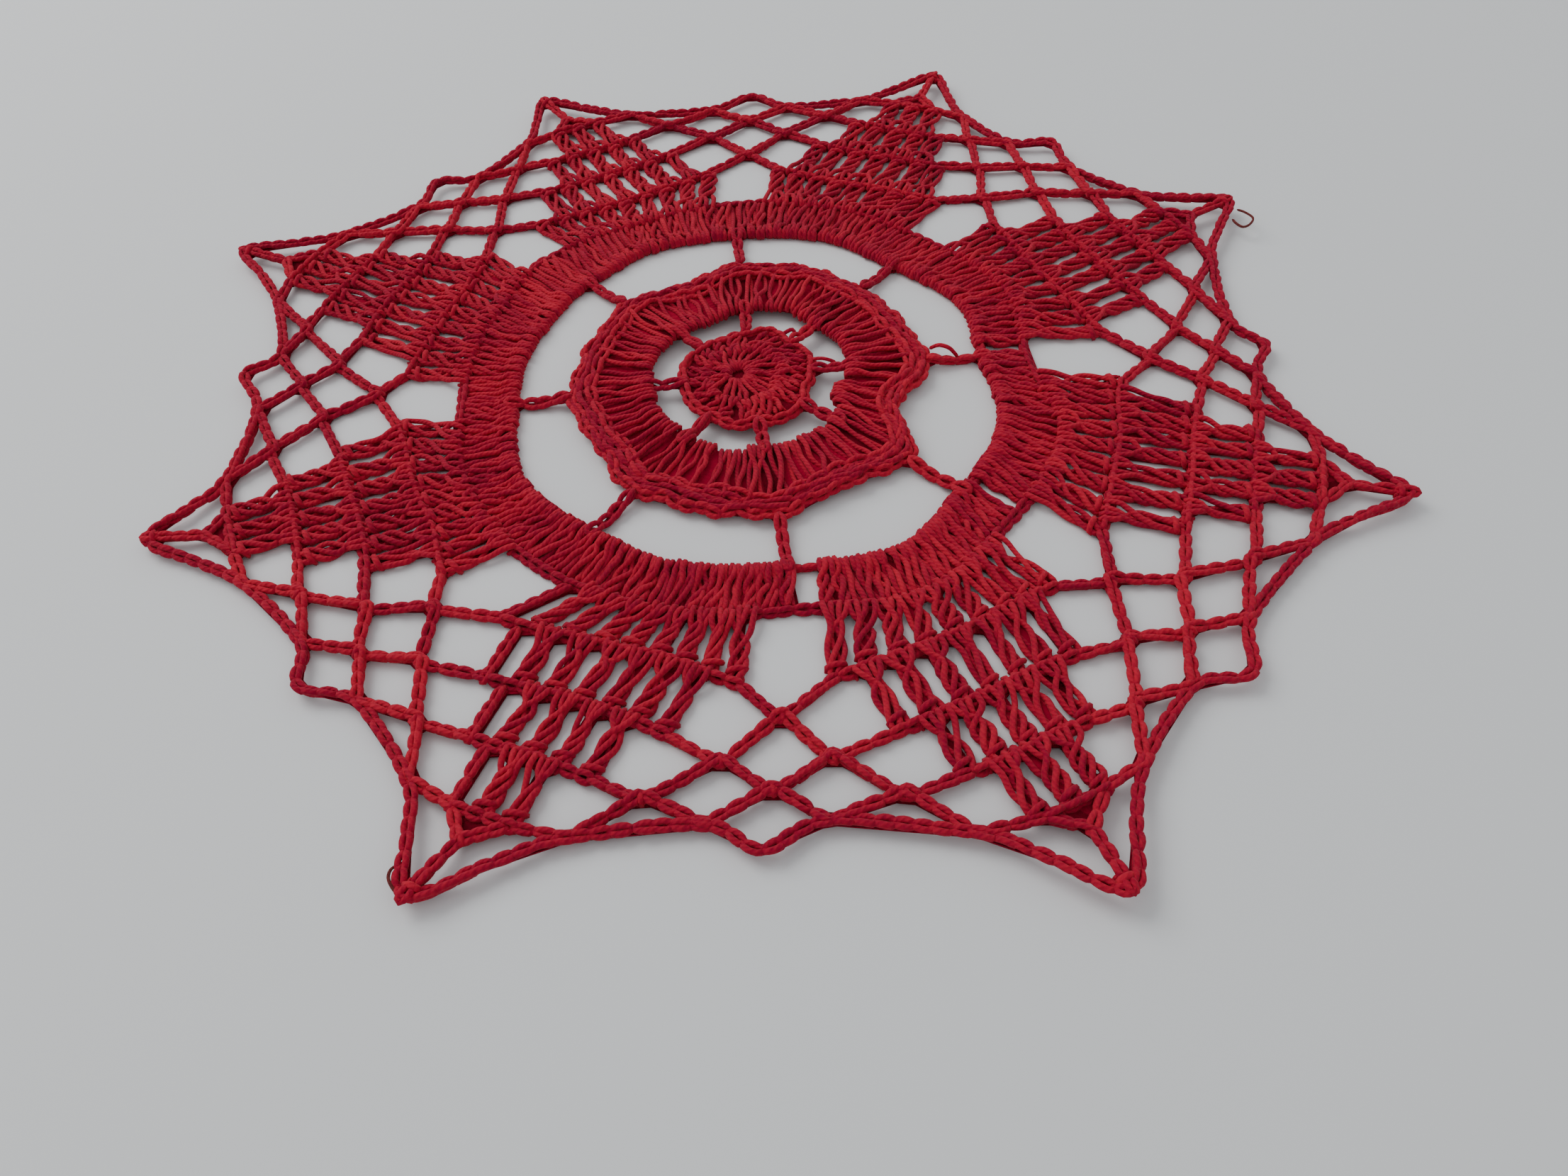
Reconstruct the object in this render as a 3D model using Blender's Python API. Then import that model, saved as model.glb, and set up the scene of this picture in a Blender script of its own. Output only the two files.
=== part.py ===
"""Crocheted lace doily: a red eight-pointed star, worked in rounds from one yarn and lying flat.

The doily is one solid. Its pattern is laid out evenly first, in eight sectors, each with a gap of net
and the petal that follows it anticlockwise. A short table then pulls every sector to its own reach and
turn, because hand work is uneven. Sector 0's gap points along -Y. Lengths are in metres, turns in
degrees, and +Z is up.
"""

import math

import bmesh
import bpy

# ---- driving sizes of the even pattern ----
SECTORS_ROUND = 8
SECTOR_TURN = 360.0 / SECTORS_ROUND
HALF_SECTOR = SECTOR_TURN / 2.0
FIRST_GAP_TURN = -90.0

TIP_RADIUS = 0.1270           # centre to the tip of a petal
THICKNESS = 0.0020            # crochet lying flat
CORD = 0.0023                 # width of a chain cord
CORNER_CUT = 0.0016           # how far a hole's corner is rounded
TIP_CUT = 0.0011              # how far the outer corners are rounded
MOST_CUT = 0.36               # but no corner takes more than this share of a side

DISC_RADIUS = 0.0152          # centre disc
DISC_OFF_CENTRE = (-0.0034, 0.0012)
OFF_CENTRE_FADE = 2.0         # how soon that shift fades towards the inner ring
INNER_RING_IN = 0.0210        # inner ring of tall stitches
INNER_RING_SIDE = 0.0376      # its outer edge, halfway between two spokes
INNER_RING_POINT = 0.0021     # how much further that edge reaches at a spoke
POINT_SHARPNESS = 4           # the higher, the closer that reach keeps to the spoke
RING_IN = 0.0500              # solid ring that carries the petals
RING_OUT = 0.0628
HEXAGON_TURN = 7.6            # half the width of the six-sided hole at the solid ring
SLIT_SHIFT = 3.5              # the slit in the solid ring lies this far anticlockwise of the spoke
SLIT_SILL = 0.0021            # width of the chain inside the slit
SLIT_TAPER = 0.3              # how much wider than its middle the slit's inner end is
SMALL_HOLE_STEPS = 3          # straight steps along a hole beside the disc
LARGE_HOLE_STEPS = 8          # and along one outside the inner ring

# A petal's rows of open stitches, from the solid ring outwards.
# columns: reach along the petal, stitches in the row, cut between them
PETAL_ROWS = (
    (0.0738, 9, False),
    (0.0877, 7, True),
    (0.0997, 5, True),
    (0.1115, 3, True),
)
PULLED_ROW = PETAL_ROWS[1][0]
STITCH_PITCH = 0.0054         # from one stitch of an open row to the next
STITCH = 0.0033               # width of one stitch
ROW_EDGE = 0.0026             # width of the chain that closes a row
STEM_FOOT = 0.1162            # where the stem leaves the petal

# Knots of the net in a gap, by round. columns: radius, turn from the middle of the gap
NET_KNOTS = (
    ((0.0831, 0.0),),
    ((0.0927, -5.4), (0.0927, 5.4)),
    ((0.1019, -11.0), (0.0987, 0.0), (0.1019, 11.0)),
    ((0.1103, -15.0), (0.1047, -5.0), (0.1047, 5.0), (0.1103, 15.0)),
)
KNOT_RADIUS = NET_KNOTS[0][0][0]
PEAK_RADIUS = 0.1105          # the small free point in the middle of a gap's edge
EDGE_STEP = 0.0007            # the edge chain lies this far outside the last round of knots
EDGE_SAG = 0.0004             # how far the edge chain bows in beside a tip

# ---- how far each sector is pulled from the even pattern ----
# In the middle of a gap: the radius of the solid ring's inner edge, of the chain round its outside, of the
# first knot and of the peak, the turn at the ring, the first knot and the peak, the lift of the peak off
# the table, and the width of the slit in the ring, none where it is drawn shut.
GAP_COLUMNS = ("ring_in", "ring_out", "knot", "peak", "ring_turn", "knot_turn", "peak_turn", "lift", "slit")
GAP_ROWS = (
    (0.0505, 0.0610, 0.0831, 0.1070, 6.6, 2.5, -0.1, 0.0010, 0.0028),
    (0.0507, 0.0629, 0.0846, 0.1128, 4.2, 2.1, 0.3, 0.0012, 0.0),
    (0.0478, 0.0579, 0.0831, 0.1073, 5.9, 1.4, 1.9, 0.0010, 0.0),
    (0.0499, 0.0638, 0.0865, 0.1170, 4.7, 3.6, 3.3, 0.0012, 0.0),
    (0.0528, 0.0678, 0.0902, 0.1194, 2.9, -0.3, -0.9, 0.0008, 0.0),
    (0.0508, 0.0676, 0.0858, 0.1135, -0.6, -0.1, -1.6, 0.0012, 0.0),
    (0.0481, 0.0598, 0.0778, 0.1076, 4.3, -1.2, -4.7, 0.0014, 0.0),
    (0.0494, 0.0619, 0.0803, 0.1060, 8.6, 0.0, -1.2, 0.0010, 0.0),
)
# On the axis of the petal that follows it: the radius of the inner ring's outer edge, of the solid ring's
# inner edge, of the second row and of the tip, the turn at the ring, the last row and the tip, how far a
# stitch's top lies anticlockwise of its foot, and the lift of the tip.
PETAL_COLUMNS = ("inner_side", "ring_in", "row", "tip", "root_turn", "turn", "tip_turn", "lean", "lift")
PETAL_ROWS_ROUND = (
    (0.0377, 0.0538, 0.0885, 0.1275, 6.8, 2.4, 1.5, 0.0004, 0.0028),
    (0.0316, 0.0510, 0.0890, 0.1270, 3.6, 3.6, 3.6, 0.0009, 0.0014),
    (0.0379, 0.0513, 0.0877, 0.1267, 4.9, 3.9, 3.7, 0.0012, 0.0022),
    (0.0418, 0.0534, 0.0933, 0.1344, 4.1, 0.0, -0.3, 0.0003, 0.0018),
    (0.0371, 0.0538, 0.0907, 0.1316, 1.2, 0.4, 2.0, 0.0012, 0.0018),
    (0.0384, 0.0491, 0.0883, 0.1315, -0.1, -2.7, -2.3, 0.0006, 0.0014),
    (0.0367, 0.0510, 0.0820, 0.1194, 7.7, -2.0, -4.1, 0.0014, 0.0010),
    (0.0392, 0.0507, 0.0836, 0.1234, 10.4, -0.9, -2.3, 0.0019, 0.0014),
)
GAPS = [dict(zip(GAP_COLUMNS, row)) for row in GAP_ROWS]
PETALS = [dict(zip(PETAL_COLUMNS, row)) for row in PETAL_ROWS_ROUND]
PETAL_TURN_FADE = 1.5         # how soon a petal's turn fades from the ring's to the last row's

MIDDLE_LIFT = 0.0016          # the middle stands a little proud of the table
FLAT_FROM = 0.94              # the doily touches the table between these shares
FLAT_TO = 1.75                # of the solid ring's inner radius
MIDDLE_CLIMB = 3.0            # how soon the middle reaches its lift
LIFT_BEND = 1.3               # how late the net and petals start to rise
WELD = 1e-6

RED_COTTON = (0.40, 0.010, 0.018, 1.0)
COTTON_ROUGHNESS = 0.9


# ---- placing a point of the pattern ----
def between(stops, values, spot):
    """The value at a spot along rising stops, in straight steps, carried on past the last stop."""
    last = len(stops) - 1
    step = next((i for i in range(1, last) if spot < stops[i]), last)
    share = (spot - stops[step - 1]) / (stops[step] - stops[step - 1])
    return values[step - 1] + share * (values[step] - values[step - 1])


def gap_reach(gap, radius):
    """The radius that a point in the middle of a gap is pulled to."""
    stops = (0.0, RING_IN, RING_OUT, KNOT_RADIUS, PEAK_RADIUS)
    return between(stops, (0.0, gap["ring_in"], gap["ring_out"], gap["knot"], gap["peak"]), radius)


def gap_turn(gap, radius):
    """The turn that a point in the middle of a gap is given."""
    stops = (0.0, RING_IN, KNOT_RADIUS, PEAK_RADIUS)
    turns = (gap["ring_turn"], gap["ring_turn"], gap["knot_turn"], gap["peak_turn"])
    return between(stops, turns, min(radius, PEAK_RADIUS))


def petal_reach(petal, radius):
    """The radius that a point on a petal's axis is pulled to."""
    stops = (0.0, INNER_RING_SIDE, RING_IN, PULLED_ROW, TIP_RADIUS)
    reaches = (0.0, petal["inner_side"], petal["ring_in"], petal["row"], petal["tip"])
    return between(stops, reaches, radius)


def petal_turn(petal, radius):
    """The turn that a point on a petal's axis is given."""
    last = PETAL_ROWS[-1][0]
    if radius > last:
        share = min(1.0, (radius - last) / (TIP_RADIUS - last))
        return petal["turn"] + (petal["tip_turn"] - petal["turn"]) * share
    left = min(1.0, (last - radius) / (last - RING_IN))
    return petal["turn"] + (petal["root_turn"] - petal["turn"]) * left ** PETAL_TURN_FADE


def neighbours(turn):
    """The gap and the petal on either side of a turn, and the petal's share there, from 0 to 1."""
    halves = turn / HALF_SECTOR
    half = math.floor(halves)
    share = 0.5 - 0.5 * math.cos(math.pi * (halves - half))
    gap = ((half + 1) // 2) % SECTORS_ROUND
    petal = (half // 2) % SECTORS_ROUND
    return gap, petal, share if half % 2 == 0 else 1.0 - share


def place(radius, turn):
    """Where a point of the even pattern lies in the uneven doily, from the doily's centre."""
    gap, petal, share = neighbours(turn)
    reach = gap_reach(GAPS[gap], radius) * (1.0 - share) + petal_reach(PETALS[petal], radius) * share
    pull = gap_turn(GAPS[gap], radius) * (1.0 - share) + petal_turn(PETALS[petal], radius) * share
    heading = math.radians(FIRST_GAP_TURN + turn + pull)
    shift = max(0.0, 1.0 - radius / INNER_RING_IN) ** OFF_CENTRE_FADE
    return (reach * math.cos(heading) + DISC_OFF_CENTRE[0] * shift,
            reach * math.sin(heading) + DISC_OFF_CENTRE[1] * shift)


def place_on_petal(index, across, along):
    """The same for a point given across and along a petal's axis."""
    turn = SECTOR_TURN * index + HALF_SECTOR + math.degrees(math.atan2(across, along))
    return place(math.hypot(across, along), turn)


def rise(x, y):
    """How far the doily's underside lies off the table: nothing from the solid ring to mid-petal."""
    turn = math.degrees(math.atan2(y, x)) - FIRST_GAP_TURN
    gap, petal, share = neighbours(turn)

    def blend(gap_column, petal_column):
        return GAPS[gap][gap_column] * (1.0 - share) + PETALS[petal][petal_column] * share

    radius = math.hypot(x, y)
    ring = blend("ring_in", "ring_in")
    if radius < FLAT_FROM * ring:
        climb = min(1.0, MIDDLE_CLIMB * (1.0 - radius / (FLAT_FROM * ring)))
        return MIDDLE_LIFT * climb * climb * (3.0 - 2.0 * climb)
    climb = max(0.0, radius - FLAT_TO * ring) / (blend("peak", "tip") - FLAT_TO * ring)
    return blend("lift", "lift") * climb ** LIFT_BEND


# ---- outlines ----
def grow(points, distance):
    """A closed anticlockwise outline moved outwards, or inwards when the distance is negative."""
    moved = []
    for before, point, after in zip(points[-1:] + points[:-1], points, points[1:] + points[:1]):
        sides = []
        for start, end in ((before, point), (point, after)):
            length = math.dist(start, end)
            sides.append(((end[1] - start[1]) / length, (start[0] - end[0]) / length))
        (ax, ay), (bx, by) = sides
        scale = distance / (1.0 + ax * bx + ay * by)
        moved.append((point[0] + (ax + bx) * scale, point[1] + (ay + by) * scale))
    return moved


def soften(points, cut):
    """A closed outline with each corner cut off."""
    softened = []
    for before, point, after in zip(points[-1:] + points[:-1], points, points[1:] + points[:1]):
        for other in (before, after):
            share = min(MOST_CUT, cut / math.dist(point, other))
            softened.append((point[0] + (other[0] - point[0]) * share,
                             point[1] + (other[1] - point[1]) * share))
    return softened


def mesh_hole(points):
    """The hole inside a ring of cords that run through the points."""
    return soften(grow(points, -CORD / 2.0), CORNER_CUT)


def ring_hole(index, inner, outer, steps):
    """The hole of sector index between two rings and two spokes; inner and outer give the rings' radii."""
    start = SECTOR_TURN * index
    points = []
    for edge, order in ((outer, range(steps + 1)), (inner, range(steps, -1, -1))):
        for step in order:
            share = step / steps
            spoke = math.degrees(CORD / 2.0 / edge(share))
            turn = spoke + (SECTOR_TURN - 2.0 * spoke) * share
            points.append(place(edge(share), start + turn))
    return soften(points, CORNER_CUT)


def inner_ring_edge(share):
    """Radius of the inner ring's outer edge, pointed at the spokes."""
    return INNER_RING_SIDE + INNER_RING_POINT * math.cos(math.pi * share) ** POINT_SHARPNESS


# ---- the pattern's points ----
def petal_corner(index, side, row):
    """The end of a petal's row, on its clockwise (-1) or anticlockwise (1) side."""
    reach, stitches, _ = PETAL_ROWS[row]
    return place_on_petal(index, side * STITCH_PITCH * (stitches - 1) / 2.0, reach)


def side_foot(index, side, row):
    """Where the outer side of a row's last stitch on one side of a petal stands on the row below."""
    half = STITCH_PITCH * (PETAL_ROWS[row][1] - 1) / 2.0 + (STITCH - CORD) / 2.0
    return place_on_petal(index, side * half - PETALS[index]["lean"], PETAL_ROWS[row - 1][0])


def knots(index):
    """The net's knots in the gap of sector index, round by round."""
    return [[place(radius, SECTOR_TURN * index + turn) for radius, turn in ring] for ring in NET_KNOTS]


def edge_knots(index):
    """Where the edge chain passes outside the last round of knots."""
    turns = [(radius + EDGE_STEP, SECTOR_TURN * index + turn) for radius, turn in NET_KNOTS[-1]]
    return [place(radius, turn) for radius, turn in turns]


def tip(index):
    """The tip of petal index."""
    return place_on_petal(index, 0.0, TIP_RADIUS)


def peak(index):
    """The free point in the middle of a gap's edge."""
    return place(PEAK_RADIUS, SECTOR_TURN * index)


def edge_bow(knot, end):
    """The middle of the edge chain between a knot and a tip, which bows towards the doily's centre."""
    middle = ((knot[0] + end[0]) / 2.0, (knot[1] + end[1]) / 2.0)
    pull = 1.0 - EDGE_SAG / math.hypot(*middle)
    return (middle[0] * pull, middle[1] * pull)


# ---- the holes ----
def centre_holes(index):
    """The hole beside the centre disc and the large one outside the inner ring."""
    small = ring_hole(index, lambda share: DISC_RADIUS, lambda share: INNER_RING_IN, SMALL_HOLE_STEPS)
    large = ring_hole(index, inner_ring_edge, lambda share: RING_IN, LARGE_HOLE_STEPS)
    return [small, large]


def slit_holes(index):
    """The slit between two parts of the solid ring, beside the spoke, where it is open."""
    width = GAPS[index]["slit"]
    if not width:
        return []
    start = SECTOR_TURN * index + SLIT_SHIFT
    inner, outer = RING_IN + SLIT_SILL, RING_OUT - CORD / 2.0
    half = math.degrees(width / (inner + outer))
    narrow, wide = half * (1.0 - SLIT_TAPER), half * (1.0 + SLIT_TAPER)
    corners = ((outer, -narrow), (outer, narrow), (inner, wide), (inner, -wide))
    return [soften([place(radius, start + turn) for radius, turn in corners], CORNER_CUT / 2.0)]


def gap_holes(index):
    """The six-sided hole and the net's holes between two petals."""
    first, second, third, fourth = knots(index)
    edge = edge_knots(index)
    start = SECTOR_TURN * index
    clockwise = [petal_corner(index - 1, 1, row) for row in range(len(PETAL_ROWS))]
    anticlockwise = [petal_corner(index, -1, row) for row in range(len(PETAL_ROWS))]
    hexagon = [
        clockwise[0], first[0], anticlockwise[0],
        place(RING_OUT, start + HEXAGON_TURN), place(RING_OUT, start - HEXAGON_TURN),
    ]
    diamonds = [
        [first[0], second[0], third[1], second[1]],
        [second[0], third[0], fourth[1], third[1]],
        [second[1], third[1], fourth[2], third[2]],
        [third[1], fourth[1], peak(index), fourth[2]],
        [third[0], edge[0], edge[1]],
        [third[2], edge[2], edge[3]],
    ]
    sides = []
    rounds = (first, second, third, fourth)
    for row, (inner, outer) in enumerate(zip(rounds[:-1], rounds[1:])):
        sides.append([clockwise[row], side_foot(index - 1, 1, row + 1), clockwise[row + 1],
                      outer[0], inner[0]])
        sides.append([anticlockwise[row], inner[-1], outer[-1], anticlockwise[row + 1],
                      side_foot(index, -1, row + 1)])
    beside_tips = [
        [place_on_petal(index - 1, 0.0, STEM_FOOT), tip(index - 1),
         edge_bow(edge[0], tip(index - 1)), edge[0], clockwise[-1]],
        [place_on_petal(index, 0.0, STEM_FOOT), anticlockwise[-1], edge[3],
         edge_bow(edge[3], tip(index)), tip(index)],
    ]
    return [mesh_hole(points) for points in [hexagon] + diamonds + sides + beside_tips]


def petal_slots(index):
    """The narrow slots between a petal's stitches, in the rows that are open enough."""
    slots = []
    for (low, _, _), (high, stitches, is_cut) in zip(PETAL_ROWS[:-1], PETAL_ROWS[1:]):
        if not is_cut:
            continue
        near, far = low + ROW_EDGE / 2.0, high - ROW_EDGE / 2.0
        half = (STITCH_PITCH - STITCH) / 2.0
        for slot in range(stitches - 1):
            top = STITCH_PITCH * (slot + 1.0 - stitches / 2.0)
            foot = top - PETALS[index]["lean"]
            corners = (
                (foot, near), (foot + half, near + half), (top + half, far - half),
                (top, far), (top - half, far - half), (foot - half, near + half),
            )
            slots.append([place_on_petal(index, across, along) for across, along in corners])
    return slots


def outer_edge():
    """The doily's outline: tip, net edge, peak, net edge, next tip."""
    points = []
    for index in range(SECTORS_ROUND):
        edge = edge_knots(index)
        points += [edge_bow(edge[0], tip(index - 1)), edge[0], edge[1], peak(index),
                   edge[2], edge[3], edge_bow(edge[3], tip(index)), tip(index)]
    return soften(grow(points, CORD / 2.0), TIP_CUT)


# ---- the solid ----
def new_collection(name):
    """A new collection in the scene."""
    collection = bpy.data.collections.new(name)
    bpy.context.scene.collection.children.link(collection)
    return collection


def cotton_material():
    """Matt red cotton yarn."""
    material = bpy.data.materials.new("red cotton")
    material.use_nodes = True
    shader = material.node_tree.nodes["Principled BSDF"]
    shader.inputs["Base Color"].default_value = RED_COTTON
    shader.inputs["Roughness"].default_value = COTTON_ROUGHNESS
    shader.inputs["Metallic"].default_value = 0.0
    return material


def flat_sheet(outlines):
    """A mesh of THICKNESS from closed outlines: the first is the edge and the others are holes."""
    curve = bpy.data.curves.new("doily outline", "CURVE")
    curve.dimensions = "2D"
    curve.fill_mode = "BOTH"
    curve.extrude = THICKNESS / 2.0
    for outline in outlines:
        spline = curve.splines.new("POLY")
        spline.points.add(len(outline) - 1)
        for point, (x, y) in zip(spline.points, outline):
            point.co = (x, y, 0.0, 1.0)
        spline.use_cyclic_u = True
    guide = bpy.data.objects.new("doily outline", curve)
    bpy.context.scene.collection.objects.link(guide)
    bpy.context.view_layer.update()
    mesh = bpy.data.meshes.new_from_object(guide.evaluated_get(bpy.context.evaluated_depsgraph_get()))
    bpy.data.objects.remove(guide)
    return mesh


def lay_down(mesh):
    """Weld the sheet, lift it off the table where it stands proud, and centre its box on the origin."""
    body = bmesh.new()
    body.from_mesh(mesh)
    bmesh.ops.remove_doubles(body, verts=body.verts, dist=WELD)
    bmesh.ops.triangulate(body, faces=body.faces)
    body.normal_update()
    level = {face for face in body.faces if abs(face.normal.z) > 0.5}
    inside = [edge for edge in body.edges if level.issuperset(edge.link_faces)]
    bmesh.ops.beautify_fill(body, faces=list(level), edges=inside, method="AREA")
    for vertex in body.verts:
        vertex.co.z += THICKNESS / 2.0 + rise(vertex.co.x, vertex.co.y)
    for axis in (0, 1):
        places = [vertex.co[axis] for vertex in body.verts]
        middle = (min(places) + max(places)) / 2.0
        for vertex in body.verts:
            vertex.co[axis] -= middle
    bmesh.ops.recalc_face_normals(body, faces=body.faces)
    body.to_mesh(mesh)
    body.free()


def build():
    """Clear the scene and make the doily."""
    for item in list(bpy.data.objects):
        bpy.data.objects.remove(item)
    outlines = [outer_edge()]
    for index in range(SECTORS_ROUND):
        outlines += centre_holes(index)
        outlines += slit_holes(index)
        outlines += gap_holes(index)
        outlines += petal_slots(index)
    mesh = flat_sheet(outlines)
    lay_down(mesh)
    mesh.name = "doily"
    mesh.materials.clear()
    mesh.materials.append(cotton_material())
    doily = bpy.data.objects.new("doily", mesh)
    new_collection("lace doily").objects.link(doily)


build()
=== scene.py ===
"""Looks of the crocheted lace doily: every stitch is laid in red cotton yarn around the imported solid.

The pattern is laid out evenly in eight sectors, each a gap of net and the petal that follows it
anticlockwise, and a short table pulls each sector out of true, as in the solid. Rounds of stitches then
follow that layout: chains as one strand pulled through its own loops, tall stitches as strands that wrap
round the chain below and wind on up. Lengths are in metres, turns in degrees, and +Z is up.
"""

import logging
import math
from dataclasses import dataclass, field
from enum import Enum
from typing import Any, Callable, Sequence, Union

import bmesh
import bpy
import numpy as np
from mathutils import Matrix, Vector


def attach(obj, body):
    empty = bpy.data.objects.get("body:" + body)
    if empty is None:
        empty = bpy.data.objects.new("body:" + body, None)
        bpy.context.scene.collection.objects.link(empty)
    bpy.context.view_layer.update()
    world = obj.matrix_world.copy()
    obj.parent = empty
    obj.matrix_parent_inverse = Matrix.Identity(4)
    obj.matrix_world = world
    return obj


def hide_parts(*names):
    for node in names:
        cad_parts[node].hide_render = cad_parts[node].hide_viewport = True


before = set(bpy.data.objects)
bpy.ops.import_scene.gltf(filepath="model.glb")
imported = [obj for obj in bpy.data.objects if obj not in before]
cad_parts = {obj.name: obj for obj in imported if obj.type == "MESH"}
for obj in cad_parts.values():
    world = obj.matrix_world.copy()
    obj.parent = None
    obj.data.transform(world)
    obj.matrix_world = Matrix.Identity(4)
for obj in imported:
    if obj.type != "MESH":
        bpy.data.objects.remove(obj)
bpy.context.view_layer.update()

log = logging.getLogger("doily")

Point = np.ndarray        # a place on the table: x and y
Spot = np.ndarray         # the same with a height over the doily's underside
Outline = np.ndarray      # the corners of a closed line, one in each row
Colour = tuple[float, float, float, float]
UP = np.array((0.0, 0.0, 1.0))
NODE = "doily"
BODY = "root"


# ---------------------------------------------------------------- the layout
@dataclass(frozen=True)
class Gap:
    """How the middle of a gap of net is pulled from the even pattern.

    ring_in, ring_out, knot and peak are radii: of the solid ring's inner edge, of the chain round its
    outside, of the first knot and of the free peak. The turns are those of the ring, the first knot and
    the peak. lift is the peak's height off the table, and slit the width of the slit in the ring.
    """

    ring_in: float
    ring_out: float
    knot: float
    peak: float
    ring_turn: float
    knot_turn: float
    peak_turn: float
    lift: float
    slit: float


@dataclass(frozen=True)
class Petal:
    """How a petal's axis is pulled from the even pattern.

    inner_side, ring_in, row and tip are radii: of the inner ring's outer edge, of the solid ring's inner
    edge, of the second row and of the tip. The turns are those at the ring, the last row and the tip. lean
    is how far a stitch's top lies anticlockwise of its foot, plump how wide its stitches are, as a share of
    the usual width, and lift the tip's height off the table.
    """

    inner_side: float
    ring_in: float
    row: float
    tip: float
    root_turn: float
    turn: float
    tip_turn: float
    lean: float
    plump: float
    lift: float


@dataclass(frozen=True)
class Row:
    """A petal's row of tall stitches: its reach along the petal and its number of stitches."""

    reach: float
    stitches: int


def between(stops: Sequence[float], values: Sequence[float], spot: float) -> float:
    """The value at a spot along rising stops, in straight steps, carried on past the last stop.

    Args:
        stops: Rising places.
        values: The value at each of them.
        spot: The place asked for.

    Returns:
        The value there.
    """
    last = len(stops) - 1
    step = next((i for i in range(1, last) if spot < stops[i]), last)
    share = (spot - stops[step - 1]) / (stops[step] - stops[step - 1])
    return values[step - 1] + share * (values[step] - values[step - 1])


def ease(share: np.ndarray) -> np.ndarray:
    """A share from 0 to 1 that starts and ends gently."""
    return share * share * (3.0 - 2.0 * share)


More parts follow.
